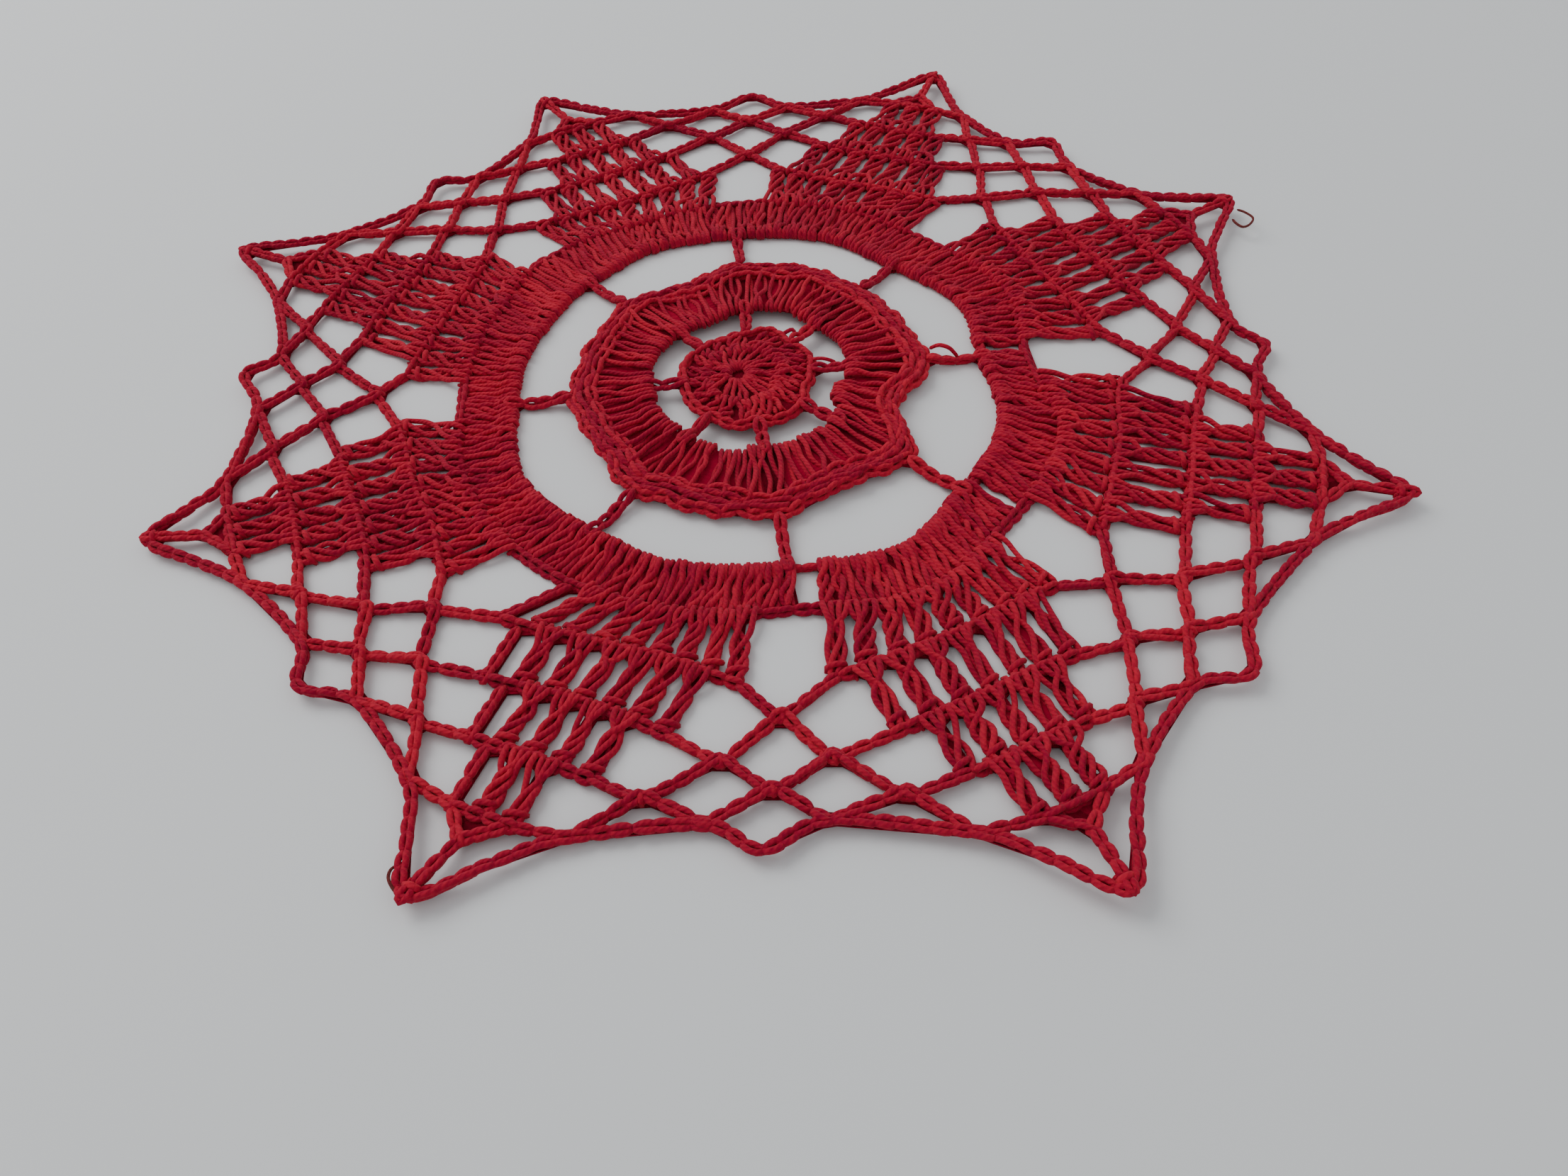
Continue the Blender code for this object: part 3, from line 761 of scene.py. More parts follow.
@dataclass(frozen=True)
class CottonFinish:
    """Matt plied cotton: two reds that drift over the doily, a soft sheen, plies and matted fibres.

    The weights say how much each strand's own shade, the slow drift, the fine mottle and the grooves between
    the plies move the colour between dark and light; the grooves' share is painted shade in the grooves and
    painted highlight on the plies.
    """

    shade: Shade = Shade.STITCHES
    light: Colour = (0.53, 0.016, 0.037, 1.0)
    dark: Colour = (0.26, 0.004, 0.026, 1.0)
    roughness: float = 0.95
    specular: float = 0.08
    sheen: float = 0.22
    sheen_roughness: float = 0.5
    sheen_tint: Colour = (1.0, 0.22, 0.26, 1.0)
    strand_weight: float = 0.5
    drift_scale: float = 45.0
    drift_detail: float = 3.0
    drift_weight: float = 0.9
    mottle_scale: float = 900.0
    mottle_weight: float = 0.9
    fibre_scale: float = 3200.0
    fibre_depth: float = 0.00012
    plies: int = 3
    ply_pitch: float = 0.0030
    # How far the grooves darken the colour and the plies lighten it: painted shade and painted highlight.
    ply_groove_painted_shade: float = 0.10
    ply_depth: float = 0.00004
    fine_detail: float = 2.0

    def material(self) -> bpy.types.Material:
        """Build the material.

        Returns:
            A Principled material that reads the yarn's own UV map and Object coordinates.
        """
        nodes = Nodes(self.shade.value)
        groove = self.groove(nodes)
        shade = 0.5
        for value, weight in (
                (nodes.add("Attribute", "Fac", {}, attribute_name="strand_shade"), self.strand_weight),
                (nodes.noise(self.drift_scale, self.drift_detail), self.drift_weight),
                (nodes.noise(self.mottle_scale, self.fine_detail), self.mottle_weight),
                # The groove also moves the colour: painted shade in the grooves between the plies, painted
                # highlight on the plies.
                (groove, self.ply_groove_painted_shade)):
            shade = nodes.maths("MULTIPLY_ADD", nodes.maths("SUBTRACT", value, 0.5), weight, shade)
        colour = nodes.add("Mix", "Result", {"Factor": shade, "A": self.dark, "B": self.light},
                           data_type="RGBA")
        plies = nodes.add("Bump", "Normal", {"Distance": self.ply_depth, "Height": groove})
        fibres = nodes.add("Bump", "Normal", {
            "Distance": self.fibre_depth, "Height": nodes.noise(self.fibre_scale, self.fine_detail),
            "Normal": plies})
        return nodes.dress({
            "Base Color": colour, "Normal": fibres, "Roughness": self.roughness,
            "Specular IOR Level": self.specular, "Sheen Weight": self.sheen,
            "Sheen Roughness": self.sheen_roughness, "Sheen Tint": self.sheen_tint})

    def groove(self, nodes: Nodes) -> bpy.types.NodeSocket:
        """A wave that winds round the yarn.

        Args:
            nodes: The material's nodes.

        Returns:
            Its height: high on the plies and low in the grooves between them.
        """
        turn = 2.0 * math.pi * self.plies
        along = nodes.add("SeparateXYZ", "X", {"Vector": nodes.add("TexCoord", "UV", {})})
        around = along.node.outputs["Y"]
        advance = nodes.maths("MULTIPLY", along, turn / self.ply_pitch)
        return nodes.maths("SINE", nodes.maths("MULTIPLY_ADD", around, turn, advance))


# ---------------------------------------------------------------- the doily's pieces
def add_object(name: str, data: Any) -> bpy.types.Object:
    """Add an object to the scene, at the origin.

    Args:
        name: Its name.
        data: Its mesh, curve, camera or light.

    Returns:
        The object.
    """
    thing = bpy.data.objects.new(name, data)
    bpy.context.scene.collection.objects.link(thing)
    return thing


def settle(piece: bpy.types.Object, material: bpy.types.Material) -> bpy.types.Object:
    """Dress a piece, and let it ride on the doily and stand for its solid.

    Args:
        piece: The piece.
        material: Its finish.

    Returns:
        The piece.
    """
    piece.data.materials.append(material)
    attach(piece, BODY)
    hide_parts(NODE)
    piece.data.calc_loop_triangles()
    log.info("%s: %d triangles", piece.name, len(piece.data.loop_triangles))
    return piece


@dataclass
class LaceGround:
    """The matted middle of the lace: a thin web under the stitches, open wherever the lace is open, dressed
    in a darker red that paints the shade under the stitches.

    cord and post are the widths of its cords and of its tall stitches.
    """

    star: Star
    cord: float = 0.0009
    corner_cut: float = 0.0016
    tip_cut: float = 0.0011
    most_cut: float = 0.36
    ring_inset: float = 0.0008
    small_steps: int = 3
    large_steps: int = 8
    slit_sill: float = 0.0021
    slit_taper: float = 0.3
    slit_ease: float = 0.0016
    post: float = 0.0019
    slot_bend: float = 0.08
    row_edge: float = 0.0017
    height: float = 0.00055
    thickness: float = 0.0004
    weld: float = 1e-6
    level_from: float = 0.5

    @staticmethod
    def grow(outline: Outline, distance: float) -> Outline:
        """Move the sides of an outline outwards.

        Args:
            outline: A closed anticlockwise outline.
            distance: How far, or how far inwards where it is negative.

        Returns:
            The outline moved.
        """
        ahead = np.roll(outline, -1, axis=0) - outline
        out = np.stack((ahead[:, 1], -ahead[:, 0]), axis=1) / np.linalg.norm(ahead, axis=1, keepdims=True)
        both = out + np.roll(out, 1, axis=0)
        return outline + both * (2.0 * distance / np.sum(both * both, axis=1, keepdims=True))

    def soften(self, outline: Outline, cut: float) -> Outline:
        """Cut off the corners of a closed outline.

        Args:
            outline: The outline.
            cut: How much of the sides a cut takes, up to the most that it may.

        Returns:
            The outline, with two corners in place of each.
        """
        ends = []
        for step in (1, -1):
            side = np.roll(outline, step, axis=0) - outline
            share = np.minimum(self.most_cut, cut / np.linalg.norm(side, axis=1, keepdims=True))
            ends.append(outline + side * share)
        return np.stack(ends, axis=1).reshape(-1, 2)

    def outer_edge(self) -> Outline:
        """The doily's outline."""
        return self.soften(self.grow(np.array(self.star.edge_stops()), self.cord / 2.0), self.tip_cut)

    def ring_hole(self, index: int, inner: Callable[[float], float], outer: Callable[[float], float],
                  steps: int) -> Outline:
        """The hole between two rings and two spokes.

        Args:
            index: The sector.
            inner: The inner ring's radius at a share of the sector.
            outer: The outer ring's.
            steps: Straight steps along each ring.

        Returns:
            The hole's outline.
        """
        star, corners = self.star, []
        shares = [step / steps for step in range(steps + 1)]
        for edge, inset, order in ((outer, self.ring_inset, shares), (inner, -self.ring_inset, shares[::-1])):
            for share in order:
                radius = edge(share) + inset
                spoke = math.degrees(self.cord / 2.0 / radius)
                turn = spoke + (star.sector_turn - 2.0 * spoke) * share
                corners.append(star.place(radius, star.sector_turn * index + turn))
        return self.soften(np.array(corners), self.corner_cut)

    def centre_holes(self, index: int) -> list[Outline]:
        """The hole beside the centre disc and the large one outside the inner ring.

        Args:
            index: The sector.

        Returns:
            Their outlines.
        """
        star = self.star
        return [self.ring_hole(index, lambda share: star.disc_radius, lambda share: star.inner_ring_in,
                               self.small_steps),
                self.ring_hole(index, star.inner_ring_edge, lambda share: star.ring_in, self.large_steps)]

    def slit_holes(self, index: int) -> list[Outline]:
        """The slit between two parts of the solid ring, beside the spoke.

        Args:
            index: The sector.

        Returns:
            Its outline, or none where it is drawn shut.
        """
        star, width = self.star, self.star.gaps[index].slit
        if not width:
            return []
        start = star.sector_turn * index + star.slit_shift
        inner, outer = star.ring_in + self.slit_sill, star.ring_out - self.cord / 2.0
        half = math.degrees((width + self.slit_ease) / (inner + outer))
        narrow, wide = half * (1.0 - self.slit_taper), half * (1.0 + self.slit_taper)
        corners = ((outer, -narrow), (outer, narrow), (inner, wide), (inner, -wide))
        slit = np.array([star.place(radius, start + turn) for radius, turn in corners])
        return [self.soften(slit, self.corner_cut / 2.0)]

    def gap_holes(self, index: int) -> list[Outline]:
        """The six-sided hole and the net's holes between two petals.

        Args:
            index: The gap.

        Returns:
            Their outlines.
        """
        star = self.star
        rounds = first, second, third, fourth = star.knots(index)
        edge, peak, start = star.edge_knots(index), star.peak(index), star.sector_turn * index
        before, after = ([star.corner(petal, side, row) for row in range(len(star.rows))]
                         for petal, side in ((index - 1, 1), (index, -1)))
        holes = [
            [before[0], first[0], after[0], star.place(star.ring_out, start + star.hexagon_turn),
             star.place(star.ring_out, start - star.hexagon_turn)],
            [first[0], second[0], third[1], second[1]],
            [second[0], third[0], fourth[1], third[1]],
            [second[1], third[1], fourth[2], third[2]],
            [third[1], fourth[1], peak, fourth[2]],
            [third[0], edge[0], edge[1]],
            [third[2], edge[2], edge[3]],
            [star.stem(index - 1), star.tip(index - 1), star.edge_bow(edge[0], star.tip(index - 1)), edge[0],
             before[-1]],
            [star.stem(index), after[-1], edge[3], star.edge_bow(edge[3], star.tip(index)), star.tip(index)],
        ]
        pad = (self.post - self.cord) / 2.0
        for row, (inner, outer) in enumerate(zip(rounds[:-1], rounds[1:])):
            holes.append([before[row], star.side_foot(index - 1, 1, row + 1, pad), before[row + 1],
                          outer[0], inner[0]])
            holes.append([after[row], inner[-1], outer[-1], after[row + 1],
                          star.side_foot(index, -1, row + 1, pad)])
        return [self.soften(self.grow(np.array(hole), -self.cord / 2.0), self.corner_cut) for hole in holes]

    def petal_slots(self, index: int) -> list[Outline]:
        """The narrow slots between the stitches of a petal.

        Args:
            index: The petal.

        Returns:
            Their outlines.
        """
        slots = []
        for number in range(len(self.star.rows)):
            feet, heads = self.star.posts(index, number)
            slots += [self.slot(feet[post:post + 2], heads[post:post + 2], self.star.petals[index].plump)
                      for post in range(len(feet) - 1)]
        return slots

    def slot(self, feet: np.ndarray, heads: np.ndarray, plump: float) -> Outline:
        """One slot between two tall stitches.

        Args:
            feet: The feet of the two.
            heads: Their heads.
            plump: How wide they are, as a share of the usual width.

        Returns:
            Its outline, pointed at both ends.
        """
        start, end = feet.mean(axis=0), heads.mean(axis=0)
        foot_span, head_span = (float(np.linalg.norm(pair[1] - pair[0])) for pair in (feet, heads))
        across = (heads[1] - heads[0]) / head_span
        edge = self.row_edge / 2.0 / float(np.linalg.norm(end - start))
        bend = edge + (1.0 - 2.0 * edge) * self.slot_bend
        outline = []
        for share, side in ((edge, 0.0), (bend, 1.0), (1.0 - bend, 1.0),
                            (1.0 - edge, 0.0), (1.0 - bend, -1.0), (bend, -1.0)):
            half = (foot_span + (head_span - foot_span) * share - self.post * plump) / 2.0
            outline.append(start + (end - start) * share + across * half * side)
        return np.array(outline)

    def cut(self) -> bpy.types.Mesh:
        """Cut the web from its outlines: the first is its edge and the others are holes.

        Returns:
            Its mesh, flat and centred on the origin in height.
        """
        outlines = [self.outer_edge()]
        for index in range(self.star.sectors):
            outlines += self.centre_holes(index) + self.slit_holes(index)
            outlines += self.gap_holes(index) + self.petal_slots(index)
        curve = bpy.data.curves.new("lace_ground_outline", "CURVE")
        curve.dimensions, curve.fill_mode, curve.extrude = "2D", "BOTH", self.thickness / 2.0
        for outline in outlines:
            spline = curve.splines.new("POLY")
            spline.points.add(len(outline) - 1)
            for point, (x, y) in zip(spline.points, outline):
                point.co = (x, y, 0.0, 1.0)
            spline.use_cyclic_u = True
        guide = add_object("lace_ground_outline", curve)
        bpy.context.view_layer.update()
        mesh = bpy.data.meshes.new_from_object(guide.evaluated_get(bpy.context.evaluated_depsgraph_get()))
        bpy.data.objects.remove(guide)
        mesh.name = "lace_ground"
        mesh.materials.clear()
        return mesh

    def build(self, material: bpy.types.Material) -> bpy.types.Object:
        """Cut the web, lay it in the stitches and dress it.

        Args:
            material: Its finish.

        Returns:
            The web.
        """
        mesh, web = self.cut(), bmesh.new()
        web.from_mesh(mesh)
        bmesh.ops.remove_doubles(web, verts=web.verts, dist=self.weld)
        bmesh.ops.triangulate(web, faces=web.faces)
        web.normal_update()
        level = {face for face in web.faces if abs(face.normal.z) > self.level_from}
        inside = [edge for edge in web.edges if level.issuperset(edge.link_faces)]
        bmesh.ops.beautify_fill(web, faces=list(level), edges=inside, method="AREA")
        rise = self.star.rise(np.array([vertex.co for vertex in web.verts]))
        for vertex, lift in zip(web.verts, rise):
            vertex.co.z += self.height + lift
        bmesh.ops.recalc_face_normals(web, faces=web.faces)
        web.to_mesh(mesh)
        web.free()
        return settle(add_object("lace_ground", mesh), material)


@dataclass
class Crochet:
    """What every part of the doily is worked with: the layout, the stitches and the height it lies at."""

    star: Star
    seed: int
    name: str = "crochet"
    middle: float = 0.00100
    chain: Chain = Chain()
    edge_chain: Chain = Chain(tilt=40.0, sway=35.0, pitch=0.0028, half_width=0.00070)
    edge_drop: float = 0.0002
    spoke_chain: Chain = Chain(half_width=0.00066)
    spoke_rise: float = 0.0008
    spoke_dip: float = 0.35
    tall: TallStitch = TallStitch()
    scatter: float = 0.00025
    yarn: Yarn = field(init=False)

    def __post_init__(self) -> None:
        """Take a fresh yarn."""
        self.yarn = Yarn(self.star, np.random.default_rng(self.seed))

    def work(self) -> None:
        """Work the part's stitches."""
        raise NotImplementedError

    def build(self, material: bpy.types.Material) -> bpy.types.Object:
        """Work the part and dress it."""
        self.work()
        return settle(self.yarn.sweep(self.name), material)

    def at(self, place: Point, up: float = 0.0) -> Spot:
        """A place on the table at the height of the crochet's middle, or above it."""
        return np.append(place, self.middle + up)

    def near(self, place: Point, up: float = 0.0) -> Spot:
        """The same, scattered a little."""
        return self.at(place + self.yarn.rng.uniform(-self.scatter, self.scatter, 2), up)

    def run(self, chain: Chain, stops: Sequence[Spot], closed: bool = False) -> None:
        """Work a chain through some stops."""
        chain.work(self.yarn, Course(stops, closed))

    def spoke(self, index: int, start: float, end: float) -> None:
        """Work a spoke: a chain that dips between two rings.

        Args:
            index: The sector that it starts.
            start: Radius at its inner end.
            end: Radius at its outer end.
        """
        turn, dip = self.star.sector_turn * index, self.spoke_dip
        self.run(self.spoke_chain, [
            self.at(self.star.place(start + (end - start) * share, turn), up)
            for share, up in ((0.0, self.spoke_rise), (dip, 0.0), (1.0 - dip, 0.0), (1.0, self.spoke_rise))])


@dataclass
class CentreDisc(Crochet):
    """The middle: two rounds of tall stitches about a small hole, their edge chain and the inner spokes.

    The pairs that end in up are the least and the most height of the stitches' ends.
    """

    name: str = "centre_disc"
    burst: TallStitch = TallStitch(sides=(-1.0, 1.0), thickness=0.84, half_width=0.00075, turns=0.3,
                                   core=0.0008, core_height=0.0007, foot_spread=0.7)
    tall: TallStitch = TallStitch(sides=(-1.0, 1.0, 0.0), thickness=0.92, half_width=0.0010, turns=0.6)
    spoke_chain: Chain = Chain(half_width=0.00085, half_depth=0.0005, pitch=0.0036)
    hole: float = 0.0026
    first_heads: float = 0.0084
    first_stitches: int = 17
    first_squeeze: float = 0.55
    first_feet_up: tuple[float, float] = (0.0, 0.0003)
    first_heads_up: tuple[float, float] = (0.0, 0.0006)
    second_feet: float = 0.0082
    second_heads: float = 0.0131
    second_stitches: int = 24
    second_slant: float = 7.0
    second_squeeze: float = 0.7
    second_feet_up: tuple[float, float] = (-0.0006, 0.0003)
    edge: float = 0.0135
    bulge: float = 0.0006
    scallop: int = 4
    spoke_from: float = 0.0134
    spoke_to: float = 0.0224

    def work(self) -> None:
        """Work the disc and the spokes that carry the inner ring."""
        star, rng = self.star, self.yarn.rng
        for turn in np.arange(self.second_stitches) * 360.0 / self.second_stitches:
            slant = rng.uniform(-self.second_slant, self.second_slant)
            foot = self.near(star.place(self.second_feet, turn), rng.uniform(*self.second_feet_up))
            head = self.near(star.place(self.second_heads, turn + slant))
            self.tall.work(self.yarn, foot, head, squeeze=self.second_squeeze)
        for turn in np.arange(self.first_stitches) * 360.0 / self.first_stitches:
            foot = self.near(star.place(self.hole, turn), rng.uniform(*self.first_feet_up))
            head = self.near(star.place(self.first_heads, turn), rng.uniform(*self.first_heads_up))
            self.burst.work(self.yarn, foot, head, squeeze=self.first_squeeze)
        ring, steps = [], self.scallop * star.sectors
        for step in range(steps):
            bulge = self.bulge * math.sin(math.pi * (step % self.scallop) / self.scallop)
            ring.append(self.near(star.place(self.edge + bulge, 360.0 * step / steps), -self.edge_drop))
        self.run(self.edge_chain, ring, closed=True)
        for index in range(star.sectors):
            self.spoke(index, self.spoke_from, self.spoke_to)


@dataclass
class InnerRing(Crochet):
    """The inner ring: tall stitches, a braided band of chains round their heads, and the outer spokes."""

    name: str = "inner_ring"
    tall: TallStitch = TallStitch(sides=(-1.0, 1.0), thickness=0.9, half_width=0.00095, turns=0.3,
                                  wild_turns=1.5, foot_spread=0.62, core=0.0011, core_height=0.0010,
                                  head_share=0.9)
    braid: Chain = Chain(half_width=0.00085, half_depth=0.00055, pitch=0.0042, sway=40.0, wild=0.25)
    spoke_chain: Chain = Chain(half_width=0.00078, half_depth=0.0005, pitch=0.0034)
    stitches: int = 8
    squeeze: float = 0.9
    foot_in: float = 0.0012
    edge_in: float = 0.0015
    edge_drop: float = 0.0001
    bands: tuple[float, ...] = (0.0051, 0.0038, 0.0026)
    head_in: float = 0.0040
    head_up: float = 0.0001
    mess: float = 0.0006
    scallop: float = 0.0005
    spoke_in: float = 0.0014
    spoke_over: float = 0.0014

    def work(self) -> None:
        """Work the ring, its bands, its edge and the spokes."""
        star, rng, mess = self.star, self.yarn.rng, self.mess
        edges = [(star.inner_ring_edge((stitch % self.stitches + 0.5) / self.stitches),
                  star.sector_turn * (stitch + 0.5) / self.stitches)
                 for stitch in range(self.stitches * star.sectors)]
        for edge, turn in edges:
            lift = rng.uniform(-mess, mess)
            foot = self.near(star.place(star.inner_ring_in + self.foot_in, turn), lift)
            head = self.near(star.place(edge - self.head_in, turn), self.head_up)
            self.tall.work(self.yarn, foot, head, squeeze=self.squeeze)
        for inset in self.bands:
            self.run(self.braid, [
                self.near(star.place(edge - inset + rng.uniform(-mess, mess), turn), self.head_up)
                for edge, turn in edges], closed=True)
        scallops = [-self.edge_in + self.scallop * (-1.0) ** stitch for stitch in range(len(edges))]
        self.run(self.edge_chain, [
            self.near(star.place(edge + scallop, turn), -self.edge_drop)
            for (edge, turn), scallop in zip(edges, scallops)], closed=True)
        for index in range(star.sectors):
            self.spoke(index, star.inner_ring_edge(0.0) - self.spoke_in, star.ring_in + self.spoke_over)


@dataclass
class SolidRing(Crochet):
    """The solid ring that carries the petals: tall stitches between the spokes, and the chain on them.

    sill_stops lists what the chain inside a slit passes through, as shares of the slit's turn from the
    spoke.
    """

    name: str = "solid_ring"
    tall: TallStitch = TallStitch(sides=(-1.0, 1.0, 0.0), half_width=0.00088, turns=0.55, wild_turns=0.9,
                                  foot_spread=0.66, core=0.0013, core_height=0.0012, settle=0.3,
                                  wander=0.0004)
    sill: Chain = Chain(half_width=0.00035, half_depth=0.00030, pitch=0.0024)
    sill_stops: tuple[float, ...] = (-0.2, 0.6, 1.4, 2.2)
    stitches: int = 19
    squeeze: float = 0.95
    foot_in: float = 0.0016
    head_in: float = 0.0002
    mess: float = 0.0003
    slit_spread: float = 1.5
    straight_from: int = 5

    def turns(self, index: int) -> list[float]:
        """The turn of each stitch of a sector, spread apart at the slit.

        Args:
            index: The sector.

        Returns:
            The turns.
        """
        star = self.star
        start, pitch = star.sector_turn * index, star.sector_turn / self.stitches
        slit = math.degrees(star.gaps[index].slit / star.ring_out) * self.slit_spread
        if not slit:
            return [start + pitch * (stitch + 0.5) for stitch in range(self.stitches)]
        first = start + star.slit_shift - (slit + pitch) / 2.0
        last = start + star.sector_turn - pitch / 2.0
        return [first, *np.linspace(first + slit + pitch, last, self.stitches - 1)]

    def work(self) -> None:
        """Work the ring, sector by sector; its stitches stand straight out, but for those at a slit."""
        star, rng, ring = self.star, self.yarn.rng, []
        for index in range(star.sectors):
            slit = star.gaps[index].slit
            for stitch, turn in enumerate(self.turns(index)):
                foot = star.place(star.ring_in + self.foot_in, turn)
                straight = min(1.0, stitch / self.straight_from) if slit else 1.0
                pull = star.turn_between(star.place(star.ring_out, turn), foot) * straight
                stand = self.near(foot, rng.uniform(-self.mess, self.mess))
                head = self.near(star.place(star.ring_out - self.head_in, turn + pull))
                self.tall.work(self.yarn, stand, head, squeeze=self.squeeze)
                ring.append(self.at(star.place(star.ring_out, turn), -self.edge_drop))
            if slit:
                start = star.sector_turn * index
                self.run(self.sill, [
                    self.at(star.place(star.ring_in + self.foot_in, start + star.slit_shift * share))
                    for share in self.sill_stops])
        self.run(self.edge_chain, ring, closed=True)


@dataclass
class Petals(Crochet):
    """Some rows of the eight petals: spaced tall stitches, each with a knot at its head, under chains."""

    name: str = "petals"
    rows: tuple[int, ...] = (0, 1)
    first_petal: int = 7
    up: float = 0.0001
    knot: Hook = Hook(half_width=0.0016, half_depth=0.0010, slant=0.0018, turns=0.8)
    knot_at: float = 0.84

    def work(self) -> None:
        """Work the petals row by row; each row of the first petal starts with a chain."""
        star = self.star
        for index in range(star.sectors):
            for number in self.rows:
                feet, heads = star.posts(index, number)
                for stitch, (foot, head) in enumerate(zip(feet, heads)):
                    if index == self.first_petal and not stitch:
                        self.run(self.chain, [self.at(foot), self.at(head)])
                        continue
                    self.tall.work(self.yarn, self.near(foot, self.up), self.near(head),
                                   plump=star.petals[index].plump)
                    ahead = head - foot
                    self.knot.work(self.yarn, self.near(foot + ahead * self.knot_at), ahead)
                self.run(self.edge_chain, [self.at(head, self.up) for head in heads])


@dataclass
class Net(Crochet):
    """The net between the petals: four rounds of chain arches, each hooked into the one before."""

    name: str = "net"
    apex_out: float = 0.0006
    hook_in: float = 0.0005
    over: float = 0.0007
    straight: float = 0.24
    hook: Hook = Hook()
    hook_up: float = 0.0002

    def work(self) -> None:
        """Work the arches of each gap, round by round, and the hooks at the knots."""
        star = self.star
        for index in range(star.sectors):
            outward, inward = star.knots(index, self.apex_out), star.knots(index, -self.hook_in)
            for number, apexes in enumerate(outward):
                stops = [self.at(star.corner(index - 1, 1, number))]
                for knot, apex in enumerate(apexes):
                    if knot:
                        stops.append(self.at(inward[number - 1][knot - 1], self.over))
                    stops.append(self.at(apex))
                stops.append(self.at(star.corner(index, -1, number)))
                self.run(self.chain, self.arches(stops))
            for knot in sum(star.knots(index)[:-1], []):
                out = knot - star.hub
                self.hook.work(self.yarn, self.at(knot, self.hook_up), (-out[1], out[0]))

    def arches(self, stops: Sequence[Spot]) -> list[Spot]:
        """Let arches run almost straight between stops and turn close to them.

        Args:
            stops: The stops.

        Returns:
            The stops, with two more spots between each two.
        """
        spots = [stops[0]]
        for start, end in zip(stops[:-1], stops[1:]):
            near, far = start + (end - start) * self.straight, end + (start - end) * self.straight
            low = min(start[2], end[2])
            near[2], far[2] = (start[2] + low) / 2.0, (end[2] + low) / 2.0
            spots += [near, far, end]
        return spots


@dataclass
class Edging(Crochet):
    """The stems to the tips and the chain that runs round the whole doily."""

    name: str = "edging"
    wrap: Hook = Hook(half_width=0.0013, half_depth=0.0009, slant=0.0016, turns=1.7)
    wrap_in: float = 0.0016
    wrap_up: float = 0.0002
    tip_up: float = 0.0004

    def work(self) -> None:
        """Work the stems, then the edge from tip to tip."""
        star = self.star
        for index in range(star.sectors):
            tip, foot = star.tip(index), star.stem(index)
            for side in (-1, 1):
                self.run(self.chain, [self.at(star.corner(index, side, -1)), self.at(foot)])
            self.run(self.chain, [self.at(foot), self.at(tip, self.tip_up)])
            ahead = tip - foot
            lump = tip - ahead / np.linalg.norm(ahead) * self.wrap_in
            self.wrap.work(self.yarn, self.at(lump, self.wrap_up), ahead)
        self.run(self.chain, [self.at(stop) for stop in star.edge_stops()], closed=True)


@dataclass
class LooseThreads(Crochet):
    """Loose loops of thread that stand out from two of the tips and beside two of the spokes.

    loops lists what each thread passes through. Its columns are the distance from the hub, the turn from
    the middle of the first gap and the height over the doily's underside.
    """

    thickness: float = 0.47
    step: float = 0.0005
    loops: tuple[tuple[tuple[float, float, float], ...], ...] = ()

    def work(self) -> None:
        """Lay the threads."""
        for loop in self.loops:
            radius, turn, height = np.array(loop).T
            heading = np.radians(self.star.first_gap_turn + turn)
            self.yarn.lay(np.stack((self.star.hub[0] + radius * np.cos(heading),
                                    self.star.hub[1] + radius * np.sin(heading), height), axis=1),
                          self.step, self.thickness)


TIP_THREADS = (
    ((0.1263, 114.5, 0.0008), (0.1266, 113.4, 0.0012), (0.1264, 112.1, 0.0014), (0.1245, 111.5, 0.0012),
     (0.1229, 111.6, 0.0010), (0.1226, 112.5, 0.0009), (0.1230, 113.4, 0.0008)),
    ((0.1193, 333.3, 0.0009), (0.1205, 333.1, 0.0012), (0.1217, 333.3, 0.0014), (0.1225, 333.7, 0.0014),
     (0.1232, 334.3, 0.0012), (0.1236, 334.9, 0.0010), (0.1232, 335.4, 0.0009), (0.1224, 335.7, 0.0008)),
)
SPOKE_LOOPS = (
    ((0.0383, 100.9, 0.0014), (0.0396, 99.7, 0.0028), (0.0406, 98.5, 0.0034), (0.0420, 97.9, 0.0030),
     (0.0430, 97.5, 0.0020), (0.0438, 97.1, 0.0010)),
    ((0.0153, 154.7, 0.0008), (0.0154, 150.6, 0.0018), (0.0164, 147.3, 0.0022), (0.0164, 144.9, 0.0018),
     (0.0160, 145.0, 0.0010)),
    ((0.0128, 112.4, 0.0008), (0.0137, 106.4, 0.0020), (0.0151, 104.2, 0.0022), (0.0165, 103.0, 0.0018),
     (0.0181, 102.4, 0.0008)),
)


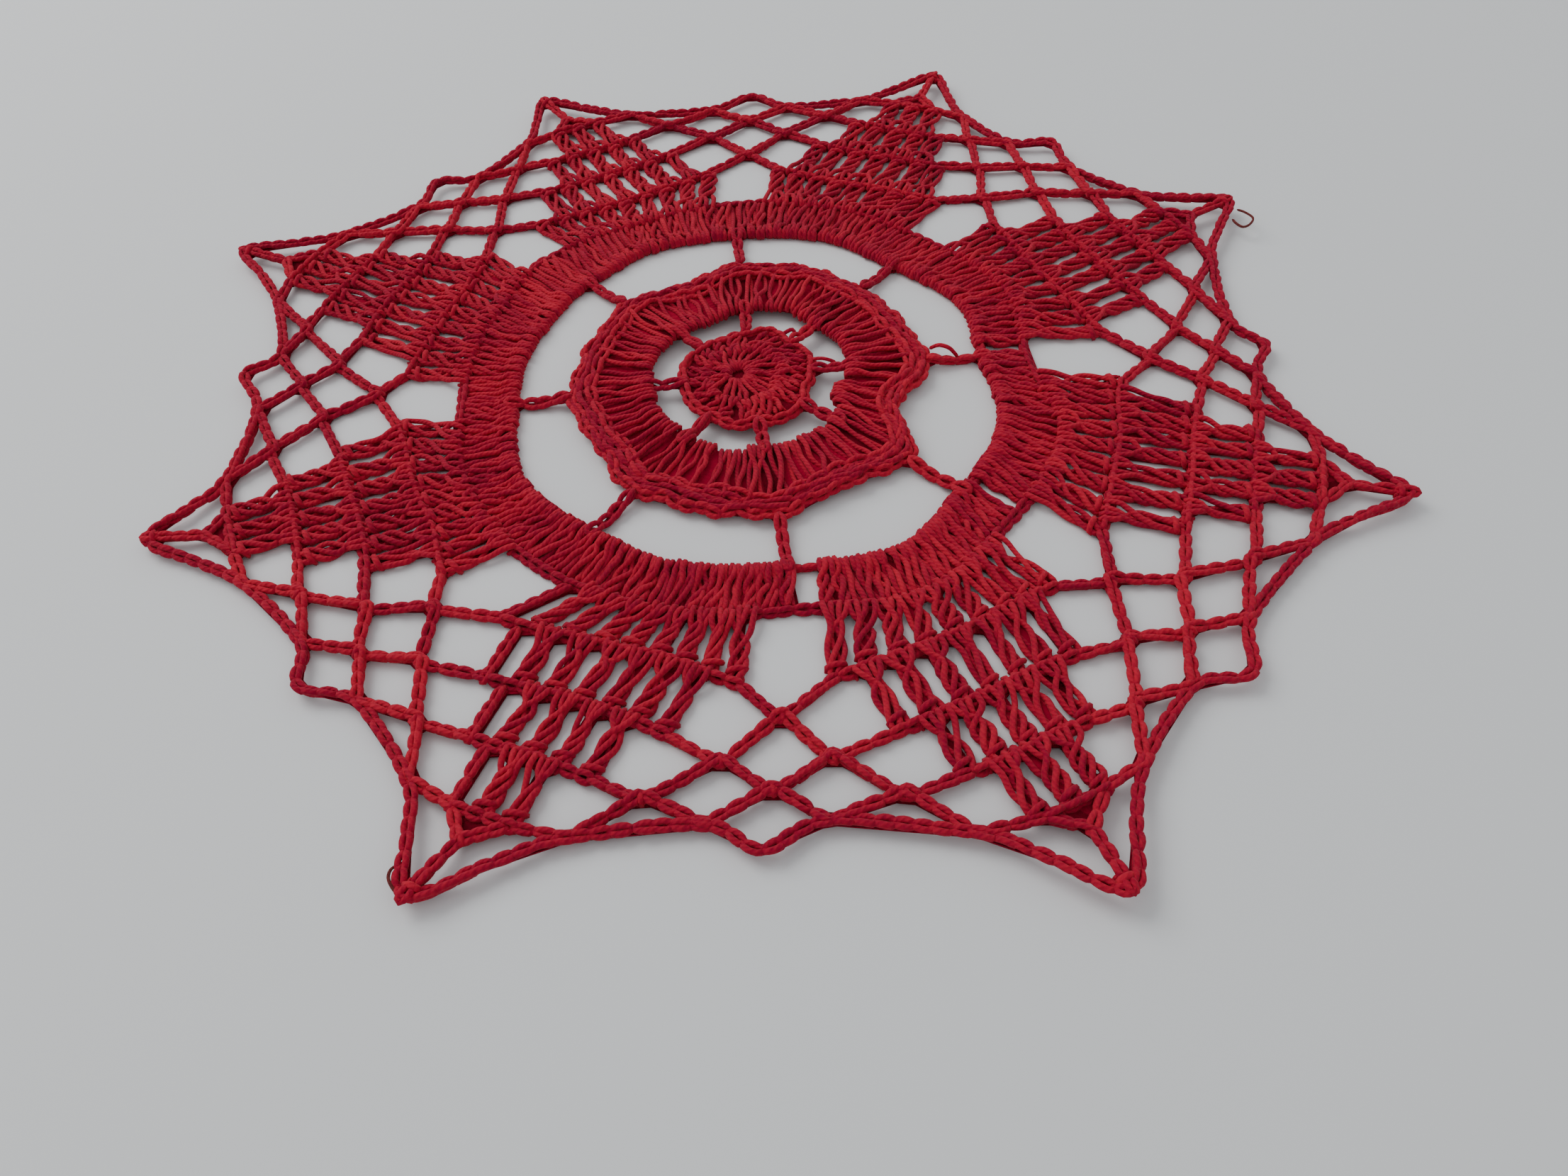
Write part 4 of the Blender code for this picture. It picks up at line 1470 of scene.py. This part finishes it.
# ---------------------------------------------------------------- the studio
@dataclass
class Studio:
    """A plain pale floor, soft light from the upper left, and the camera of the photograph."""

    camera_place: tuple[float, float, float] = (0.00515, -0.19187, 0.15794)
    look_down: float = 49.846
    heading: float = 0.258
    roll: float = -2.810
    lens: float = 26.73
    sensor: float = 36.0
    nearest: float = 0.01
    floor_size: float = 6.0
    floor_steps: int = 4
    floor_colour: Colour = (0.72, 0.725, 0.73, 1.0)
    floor_roughness: float = 0.7
    window_place: tuple[float, float, float] = (-0.80, 0.60, 0.95)
    window_size: float = 0.85
    window_power: float = 11.0
    room_colour: Colour = (0.95, 0.98, 1.0, 1.0)
    room_strength: float = 0.68

    def camera(self) -> None:
        """Stand the camera where the photograph was taken."""
        data = bpy.data.cameras.new("camera")
        data.lens, data.sensor_width, data.sensor_fit = self.lens, self.sensor, "HORIZONTAL"
        data.clip_start = self.nearest
        camera = add_object("camera", data)
        turn = (Matrix.Rotation(math.radians(self.heading), 4, "Z")
                @ Matrix.Rotation(math.radians(90.0 - self.look_down), 4, "X")
                @ Matrix.Rotation(math.radians(self.roll), 4, "Z"))
        camera.matrix_world = Matrix.Translation(self.camera_place) @ turn
        bpy.context.scene.camera = camera

    def floor(self) -> None:
        """Lay the floor."""
        bpy.ops.object.select_all(action="DESELECT")
        bpy.ops.mesh.primitive_grid_add(x_subdivisions=self.floor_steps, y_subdivisions=self.floor_steps,
                                        size=self.floor_size)
        floor = bpy.context.active_object
        floor.name = "floor"
        floor.data.materials.append(Nodes("pale_floor").dress(
            {"Base Color": self.floor_colour, "Roughness": self.floor_roughness}))

    def lights(self) -> None:
        """Hang one large soft light at the upper left and let the room fill the shadows."""
        data = bpy.data.lights.new("window", "AREA")
        data.shape, data.size, data.energy = "SQUARE", self.window_size, self.window_power
        light = add_object("window", data)
        light.location = self.window_place
        light.rotation_mode = "QUATERNION"
        light.rotation_quaternion = (-Vector(self.window_place)).to_track_quat("-Z", "Y")
        world = bpy.data.worlds.new("room")
        world.use_nodes = True
        background = world.node_tree.nodes["Background"]
        background.inputs["Color"].default_value = self.room_colour
        background.inputs["Strength"].default_value = self.room_strength
        bpy.context.scene.world = world


def main() -> None:
    """Build the studio and the doily, part by part."""
    logging.basicConfig(level=logging.INFO, format="%(name)s: %(message)s")
    studio = Studio()
    studio.camera()
    studio.floor()
    studio.lights()
    star = Star()
    star.centre_on_box()
    log.info("hub at %.5f, %.5f", *star.hub)
    stitches = CottonFinish().material()
    # The web stands for the yarn under the stitches; its darker red without sheen is painted shade under
    # them.
    ground = LaceGround(star).build(CottonFinish(
        Shade.GROUND_PAINTED_SHADE, light=(0.42, 0.006, 0.030, 1.0), dark=(0.30, 0.004, 0.024, 1.0), sheen=0.0).material())
    thread = CottonFinish(Shade.THREAD, light=(0.19, 0.045, 0.035, 1.0), dark=(0.10, 0.02, 0.02, 1.0))
    parts = (CentreDisc(star, 0), InnerRing(star, 1), SolidRing(star, 2), Petals(star, 3),
             Petals(star, 4, name="petal_ends", rows=(2, 3)), Net(star, 5), Edging(star, 6),
             LooseThreads(star, 7, name="spoke_loops", thickness=0.75, loops=SPOKE_LOOPS))
    pieces = [part.build(stitches) for part in parts]
    tip_threads = LooseThreads(star, 8, name="tip_threads", loops=TIP_THREADS)
    pieces.append(tip_threads.build(thread.material()))


if __name__ == "__main__":
    main()
